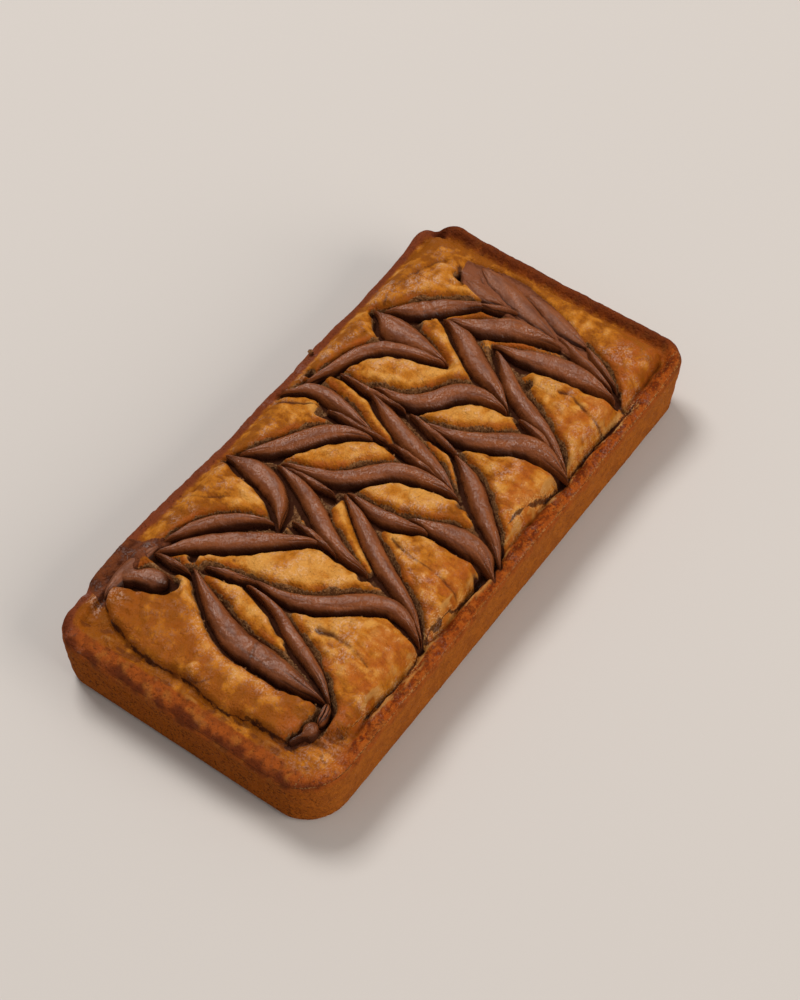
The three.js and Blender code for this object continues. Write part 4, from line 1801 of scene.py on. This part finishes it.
    def wall(self, x: Array, y: Array, top: Array) -> tuple[Array, dict[str, Array]]:
        """The walls and the foot, from the top's outer points down and inwards.

        Args:
            x: The outer points' places along the loaf, in order round it.
            y: Their places across it.
            top: Their heights.

        Returns:
            The points of every row below them, and their values for the finish.
        """
        _, facing = self.inset(x, y)
        low = self.foot_radius
        steeper = ((1.4, Side.RIGHT), (2.0, Side.NEAR))
        taper = self.taper - sum(less * side.weight(facing) for less, side in steeper)
        insets = [np.full_like(x, inset) for inset, _ in self.EDGE_ROWS]
        levels = [top - down for _, down in self.EDGE_ROWS]
        for row in range(1, self.wall_rows + 1):
            share = row / self.wall_rows
            insets.append(taper * share)
            levels.append(between(top - self.EDGE_ROWS[-1][1], low, share))
        for angle in np.radians(self.FOOT_TURNS):
            insets.append(taper + low * (1 - math.cos(angle)))
            levels.append(np.full_like(x, low * (1 - math.sin(angle))))
        for inset in self.UNDER_ROWS:
            insets.append(np.full_like(x, inset))
            levels.append(np.zeros_like(x))
        inset, level = np.stack(insets), np.stack(levels)
        out = self.crest_inset - inset
        ring_x, ring_y = x + facing[:, 0] * out, y + facing[:, 1] * out
        places = np.stack([ring_x, ring_y, level], 2).reshape(-1, 3)
        dents = 0.6 * self.grain.layered(places, 26.0, 2) + 0.3 * self.grain.layered(places, 6.0, 3)
        pits = 0.4 * rise(0.3, 0.75, self.grain.at(places + 3.0, 2.8))
        push = (dents - pits) * rise(0.5, 6.0, places[:, 2])
        push += self.bulge(places[:, 0], places[:, 1]) * rise(12.0, 26.0, places[:, 2])
        places[:, :2] += np.tile(facing, (len(inset), 1)) * push[:, None]
        count = len(places)
        depth = np.tile(top, len(inset)) - places[:, 2]
        waves = self.grain.at(places, 5.0)
        high = rise(0.5, 5.0, depth + 1.5 * waves)
        char = 0.8 * rise(*self.CHARRED, places[:, 0]) * rise(2.2, 0.2, depth + 3.0 * waves + 0.6)
        values = {key: np.zeros(count) for key in self.TOP_ONLY}
        values.update({key: np.full(count, far) for key, far in self.NO_LINE.items()})
        spread = np.maximum(*(smear.depth(places[:, 0], places[:, 1]) for smear in self.SMEARS))
        values.update(
            wall=high,
            rim=np.ones(count),
            tone=np.full(count, 0.6),
            # ruddy on the walls marks the near wall: it gets the painted warm bounce light and more
            # pores.
            ruddy=np.tile(Side.NEAR.weight(facing), len(inset)),
            scorch=0.75 * rise(*self.SCORCHED_WALL, places[:, 0]) * rise(8.0, 1.0, depth) + char,
            blush=rise(*self.LEFT_RIM, places[:, 1]) * rise(8.0, 1.0, depth) * 0.8,
            stain=rise(-1.0, 1.0, spread) * rise(2.5, 0.5, depth),
        )
        return places, values

    def shape(self) -> Shape:
        """The whole loaf as one closed mesh.

        Returns:
            Its points, faces and values.
        """
        x, y = self.lattice()
        z, values = self.relief(x, y)
        wide, deep = self.columns + 1, self.rows + 1
        z = evened(evened(z.reshape(deep, wide), 1).T, 1).T.ravel()
        inset, facing = self.inset(x, y)
        push = self.bulge(x, y) * rise(7.0, self.crest_inset, inset)
        x, y = x + facing[:, 0] * push, y + facing[:, 1] * push
        number = np.arange(wide * deep).reshape(deep, wide)
        corners = (number[:-1, :-1], number[:-1, 1:], number[1:, 1:], number[1:, :-1])
        faces = np.stack([corner.ravel() for corner in corners], 1).tolist()
        loop = np.concatenate([number[0, :-1], number[:-1, -1], number[-1, :0:-1], number[:0:-1, 0]])
        home_x, home_y = self.lattice()
        places, more = self.wall(home_x[loop], home_y[loop], z[loop])
        count, first = len(loop), len(x)
        rings = [loop, *(first + np.arange(len(places)).reshape(-1, count))]
        for upper, lower in zip(rings[:-1], rings[1:]):
            quads = np.stack([upper, lower, np.roll(lower, -1), np.roll(upper, -1)], 1)
            faces += quads.tolist()
        middle = first + len(places)
        last = rings[-1]
        faces += np.stack([last, np.full(count, middle), np.roll(last, -1)], 1).tolist()
        points = np.vstack([np.stack([x, y, z], 1), places, [[0.0, 0.0, 0.0]]])
        joined = {key: np.concatenate([values[key], more[key], [0.0]]) for key in more}
        joined["wall"][-1] = 1.0
        return Shape(points, faces, joined)

    def build(self) -> tuple[bpy.types.Object, Shape]:
        """Makes the loaf and sets it in the frame.

        Returns:
            The piece and its shape.
        """
        shape = self.shape()
        piece = shape.build("baked_loaf", CrustFinish().make())
        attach(piece, "root")
        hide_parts("loaf")
        return piece, shape


@dataclass
class LooseCrumbs:
    """Crumbs that lie loose in the crevices of the top, and one on the rim."""

    bed: Shape
    count: int = 700
    least: float = 0.18
    most: float = 0.55
    seed: int = 5

    RIM_CRUMB = (37.0, 63.4, 29.4)
    RIM_CRUMB_SIZE = 1.4
    OPEN = 0.75
    STRAY = 0.3

    def shape(self) -> Shape:
        """All the crumbs as one mesh of small lumps.

        Returns:
            Its points and faces.
        """
        draw = np.random.default_rng(self.seed)
        open_crumb = self.bed.values["crumb"] - self.bed.values["gap"]
        places = self.bed.points[np.flatnonzero(open_crumb > self.OPEN)]
        chosen = places[draw.choice(len(places), self.count, replace=False)]
        sizes = self.least + (self.most - self.least) * draw.uniform(size=self.count) ** 2
        chosen[:, :2] += draw.uniform(-self.STRAY, self.STRAY, (self.count, 2))
        chosen[:, 2] += sizes * 0.5
        chosen = np.vstack([chosen, [self.RIM_CRUMB]])
        sizes = np.append(sizes, self.RIM_CRUMB_SIZE)
        ball, faces = self._ball()
        points, joined = [], []
        for number, (place, size) in enumerate(zip(chosen, sizes)):
            lump = ball * draw.uniform(0.7, 1.2, (len(ball), 1)) * draw.uniform(0.7, 1.3, 3)
            points.append(place + lump * size)
            joined += (faces + number * len(ball)).tolist()
        return Shape(np.vstack(points), joined)

    @staticmethod
    def _ball() -> tuple[Array, Array]:
        """A ball of radius 1 with twenty sides.

        Returns:
            Its points and its faces.
        """
        golden = (1 + math.sqrt(5)) / 2
        signs = [(1, golden), (-1, golden), (1, -golden), (-1, -golden)]
        points = [(0, a, b) for a, b in signs] + [(a, b, 0) for a, b in signs]
        points += [(b, 0, a) for a, b in signs]
        points = np.array(points, float) / math.hypot(1, golden)
        faces = []
        for a in range(12):
            for b in range(a + 1, 12):
                for c in range(b + 1, 12):
                    trio = points[[a, b, c]]
                    sides = np.linalg.norm(trio - np.roll(trio, 1, axis=0), axis=1)
                    if sides.max() < 1.2:
                        normal = np.cross(trio[1] - trio[0], trio[2] - trio[0])
                        faces.append([a, b, c] if normal @ trio[0] > 0 else [a, c, b])
        return points, np.array(faces)

    def build(self) -> bpy.types.Object:
        """Makes the crumbs and sets them in the frame.

        Returns:
            The piece.
        """
        piece = self.shape().build("loose_crumbs", CrumbFinish().make())
        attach(piece, "root")
        return piece


# ------------------------------------------------------------------------ the ridges


@dataclass
class ChocolateRidge:
    """One ridge of chocolate: a rounded back, strands at its ends and a keel below.

    number is its place among the ridges, which sets its own folds and grooves.
    """

    course: Course
    number: int
    grain: Grain
    back_points: int = 37
    depth: float = 5.6

    SEED = 100
    TIP = {"patch_far": 0.2, "band_far": 0.7, "patch_end": 1.0}
    USUAL_TIP = 0.4
    TIP_DROP = 1.4
    ARCH = 0.52
    FLAT_ARCH = 0.35

    # The node that ends in a bead, where its thin part ends along it, and their sizes.
    KNOTS = {"rope_start": 0.45}
    BEAD = 3.0
    THIN = 0.75

    # Where along a ridge its back split as it set.
    CRACKS = {"slant_far": (0.36, 0.47), "leaf_near": (0.57,), "thin_near": (0.6,)}

    KEEL = 0.8
    STRAND_LENGTH = 8.0
    FOLD_DEPTH = 0.42
    GROOVE_DEPTH = 0.65
    CRACK_DEPTH = 0.6
    TWIST_DEPTH = 0.7

    # How far apart the noises of two ridges are taken, so that they differ.
    STEP = 5.0
    SWELL_STEP = 9.0

    @property
    def knot(self) -> float:
        """Where the thin part ends, as a share of the length, or 0 without a bead."""
        return self.KNOTS.get(self.course.name, 0.0)

    def _lengthwise(self, run: Array) -> tuple[Array, Array, Array]:
        """Works out the ridge's size along its course.

        Args:
            run: How far along the course each section is.

        Returns:
            Each section's half width, its base and its top.
        """
        half, crest, length = self.course.half, self.course.crest, run[-1]
        if self.knot:
            middle = (1.0 + self.knot) / 2
            bead = 1.0 - ((run / length - middle) / (1.0 - middle)) ** 2
            thin = np.minimum(half, self.THIN)
            half = np.maximum(thin, self.BEAD * np.sqrt(np.clip(bead, 0.0, 1.0)))
            crest = crest - 0.5 + 0.9 * np.clip(bead, 0.0, 1.0)
        ends = np.minimum(run, length - run)
        tip = swell(ends / np.maximum(half.max() * 1.3, 1.5))
        above = self.TIP.get(self.course.name, self.USUAL_TIP)
        return half, crest - self.depth, crest + above - self.TIP_DROP * (1.0 - tip)

    def _pulled(self, u: Array, share: Array, far: Array) -> tuple[Array, Array]:
        """Draws the marks that the knife left along the back.

        Args:
            u: Where points lie across the ridge, from -1 to 1.
            share: Where they lie along it, from 0 to 1.
            far: How squarely they face the sloping side, from -1 to 1.

        Returns:
            The fold along the back and the grooves between the strands at the ends, from
            0 to 1.
        """
        draw = np.random.default_rng(self.number + self.SEED)
        lay = self.course.lay
        start, pitch = draw.uniform(0, 6), draw.uniform(4.0, 5.6)
        tail = max(0.2, self.STRAND_LENGTH / self.course.length)
        strand = rise(1.0 - 1.6 * tail, 1.0 - 0.5 * tail, share)
        strand = strand + 0.8 * rise(1.3 * tail, 0.4 * tail, share)
        groove = bell(np.sin(pitch * (u + 0.3 * share) + start), 0.25) * strand
        groove *= 0.0 if self.knot or lay is Lay.BLOB else 1.0
        side = 0.25 if draw.uniform() < 0.35 else -0.48
        fold_at = side + 0.16 * np.sin(share * draw.uniform(3, 6) + start)
        fold = bell(far - fold_at, 0.07) * rise(0.08, 0.3, share) * rise(0.9, 0.65, share)
        fold *= 0.0 if lay.flat else draw.uniform(0.3, 1.0)
        return fold, groove

    def shape(self) -> Shape:
        """The ridge as a closed mesh.

        Returns:
            Its points, faces and values.
        """
        lay, line, length = self.course.lay, self.course.line, self.course.length
        flat, count = lay.flat, len(line)
        run = np.linspace(0.0, length, count)
        half, base, top = self._lengthwise(run)
        steps = self.course.steps()
        across = np.stack([-steps[:, 1], steps[:, 0]], 1)
        u = -np.cos(np.linspace(0.0, np.pi, self.back_points))
        arch = (1.0 - np.abs(u) ** 3) ** (self.FLAT_ARCH if flat else self.ARCH)
        up = base[:, None] + (top - base)[:, None] * arch[None, :]

        wave_u, share = np.meshgrid(u, run / length)
        own = np.full(share.shape, self.STEP * self.number)
        body = 1.0 - np.abs(wave_u) ** 3
        facing = across @ SLOPING_SIDE
        if flat:
            facing = np.sign(facing)
        far = wave_u * facing[:, None]
        fold, groove = self._pulled(wave_u, share, far)
        places = np.stack([run, np.full(count, self.SWELL_STEP * self.number), np.zeros(count)], 1)
        swells = 0.3 * self.grain.at(places, 7.0)[:, None]
        dip = self.FOLD_DEPTH * fold
        up += (swells + 0.25 * rise(0.1, -0.5, far) * fold - dip - self.GROOVE_DEPTH * groove) * body
        up += 0.35 * far * body - (rise(0.0, 1.0, far) if flat else 0.0)
        streak = self._noise(np.stack([wave_u * 2.6, share * length / 13.0, own], 2), 1.0, 3)
        up += 0.1 * streak * body
        # Painted shade in the folds, grooves, twists and cracks. The ridges at the -X end, a knot's
        # thin part and the twists are darker chocolate.
        shade = 0.55 * fold + 0.85 * groove + 0.3 * rise(-76.0, -90.0, line[:, 0])[:, None]
        if lay is Lay.ROPE:
            twist = bell(np.sin(wave_u * 3.0), 0.3) * (0.3 if self.knot else 1.0)
            up -= self.TWIST_DEPTH * twist * body
            shade += 0.7 * twist + (0.45 * rise(0.5, 0.35, share) if self.knot else 0.0)
        for crack in self.CRACKS.get(self.course.name, ()):
            split = bell((share - crack) * length + 1.6 * wave_u + swells, 0.6)
            up -= self.CRACK_DEPTH * split * body
            shade += 0.3 * split

        ragged = self._noise(np.stack([share * length, np.sign(wave_u) * 40.0, own], 2), 3.2, 2)
        reach = half[:, None] * u[None, :] * (1.0 + 0.1 * ragged * wave_u**2)
        places = line[:, None, :] + across[:, None, :] * reach[:, :, None]
        points = np.concatenate([places, up[:, :, None]], 2)
        lumps = self._noise(points, 5.0, 2) * 0.35
        fine = self._noise(points, 1.8, 2) * (0.5 if lay is Lay.TWIST else 0.1)
        points[:, :, 2] += (lumps + fine) * body
        if lay is Lay.TWIST:
            shade += 0.2 + 0.5 * fine
        # Painted shade on the flank that faces the camera, and a little at both edges; a blob is
        # darker towards its end.
        near_flank = rise(0.5, 0.85, -far) * 0.8 if flat else rise(0.5, 0.95, -far) * 0.95
        far_flank = rise(0.82, 1.0, np.abs(wave_u)) * (0.0 if flat else 0.4)
        dark_end = rise(0.75, 1.0, share) * (0.5 if lay is Lay.BLOB else 0.0)
        shade = np.clip(shade + np.maximum(near_flank, far_flank) + dark_end, 0, 1)
        values = {"shade": shade, "streak": np.clip(streak, -1, 1)}
        return self._closed(points, values, 0.8 if flat else 0.0)

    def _noise(self, places: Array, size: float, layers: int) -> Array:
        """Noise on a grid of points.

        Args:
            places: The points, row by row.
            size: How far apart the hills of the first layer are.
            layers: How many layers there are.

        Returns:
            A value for each point, row by row.
        """
        values = self.grain.layered(places.reshape(-1, 3), size, layers)
        return values.reshape(places.shape[:2])

    def _closed(self, points: Array, values: dict[str, Array], matte: float) -> Shape:
        """Adds the keel and both ends.

        Args:
            points: The back's points, a row for each place along the course.
            values: What the finish reads at each of them.
            matte: How matte the ridge is.

        Returns:
            The closed mesh.
        """
        count, wide = points.shape[:2]
        keel = (points[:, :1] + points[:, -1:]) / 2
        keel[:, :, 2] -= self.KEEL
        rows = np.concatenate([points, keel], 1)
        size = wide + 1
        number = np.arange(count * size).reshape(count, size)
        around = np.roll(number, -1, axis=1)
        quads = np.stack([number[:-1], around[:-1], around[1:], number[1:]], 2)
        faces = quads.reshape(-1, 4)[:, ::-1].tolist()
        faces.append(number[0].tolist())
        faces.append(number[-1][::-1].tolist())
        closed = {key: np.concatenate([value, np.ones((count, 1))], 1).ravel()
                  for key, value in values.items()}
        closed["matte"] = np.full(count * size, matte)
        return Shape(rows.reshape(-1, 3), faces, closed)

    def build(self, finish: bpy.types.Material) -> bpy.types.Object:
        """Makes the ridge and sets it in the frame.

        Args:
            finish: The chocolate's material.

        Returns:
            The piece.
        """
        piece = self.shape().build("chocolate_" + self.course.name, finish)
        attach(piece, "root")
        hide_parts(self.course.name)
        return piece


# ------------------------------------------------------------------------ the studio


@dataclass
class Studio:
    """A pale floor, soft light from behind on the left, and the camera."""

    aim: Vector = field(default_factory=lambda: Vector((14.7, 2.6, 0.0)) * MM)
    distance: float = 929.0 * MM
    azimuth: float = math.radians(-53.15)
    elevation: float = math.radians(54.72)
    roll: float = math.radians(-1.32)
    lens: float = 82.4
    floor_radius: float = 6.0
    floor_sides: int = 96
    sensor: float = 36.0
    air: float = 0.39

    def floor(self) -> None:
        """Lays the floor, which isn't part of the object."""
        turns = np.linspace(0.0, 2 * np.pi, self.floor_sides + 1)[:-1]
        ring = floor_points(np.cos(turns), np.sin(turns)) * self.floor_radius / MM
        piece = Shape(ring, [list(range(self.floor_sides))]).build("floor", FloorFinish().make())

    def camera(self) -> None:
        """Sets the camera above the -X, -Y corner."""
        back = Vector((
            math.sin(self.azimuth) * math.cos(self.elevation),
            -math.cos(self.azimuth) * math.cos(self.elevation),
            math.sin(self.elevation),
        ))
        level = (-back).cross(Vector((0, 0, 1))).normalized()
        over = level.cross(-back)
        cosine, sine = math.cos(self.roll), math.sin(self.roll)
        right, up = cosine * level + sine * over, cosine * over - sine * level
        lens = bpy.data.cameras.new("camera")
        lens.lens = self.lens
        lens.sensor_width = self.sensor
        camera = bpy.data.objects.new("camera", lens)
        camera.matrix_world = Matrix.Translation(self.aim + back * self.distance) @ Matrix(
            (right, up, back)).transposed().to_4x4()
        bpy.context.scene.collection.objects.link(camera)
        bpy.context.scene.camera = camera

    @staticmethod
    def lamp(name: str, place: tuple[float, float, float], size: float, power: float,
             code: str) -> None:
        """Hangs one soft lamp that faces the loaf.

        Args:
            name: The lamp's name.
            place: Where it hangs, in metres.
            size: Its width and height, in metres.
            power: Its power in watts.
            code: Its colour.
        """
        light = bpy.data.lights.new(name, "AREA")
        light.shape = "SQUARE"
        light.size = size
        light.energy = power
        light.color = paint(code)[:3]
        lamp = bpy.data.objects.new(name, light)
        lamp.location = place
        lamp.rotation_mode = "QUATERNION"
        lamp.rotation_quaternion = (-Vector(place)).to_track_quat("-Z", "Y")
        bpy.context.scene.collection.objects.link(lamp)

    def lights(self) -> None:
        """Hangs the lamps and lights the air round them."""
        self.lamp("window", (0.7, 1.5, 2.7), 1.1, 66.0, "fffbf6")
        self.lamp("fill", (0.3, -2.6, 1.5), 2.0, 56.0, "fff4e8")
        world = bpy.data.worlds.new("air")
        world.use_nodes = True
        backdrop = world.node_tree.nodes["Background"]
        backdrop.inputs["Color"].default_value = paint("ece8e4")
        backdrop.inputs["Strength"].default_value = self.air
        bpy.context.scene.world = world
        bpy.context.scene.view_settings.view_transform = "Standard"


# -------------------------------------------------------------------------- the whole


def corners(box: tuple[Vector, Vector]) -> list[list[float]]:
    """The two corners of a box as plain lists."""
    return [list(corner) for corner in box]


def main() -> None:
    """Builds the loaf, its ridges and the studio."""
    logging.basicConfig(level=logging.INFO, format="%(name)s: %(message)s")
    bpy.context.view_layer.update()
    names = [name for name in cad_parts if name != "loaf"]
    courses = [Course.of_node(name) for name in names]
    log.info("read %d courses", len(courses))

    loaf, bed = BakedLoaf(courses).build()
    log.info("built %s with %d points", loaf.name, len(loaf.data.vertices))
    crumbs = LooseCrumbs(bed).build()
    log.info("built %s with %d points", crumbs.name, len(crumbs.data.vertices))

    finish = ChocolateFinish().make()
    grain = Grain(23)
    for number, course in enumerate(courses):
        piece = ChocolateRidge(course, number, grain).build(finish)
        log.info("built %s with %d points", piece.name, len(piece.data.vertices))

    studio = Studio()
    studio.floor()
    studio.camera()
    studio.lights()


if __name__ == "__main__":
    main()
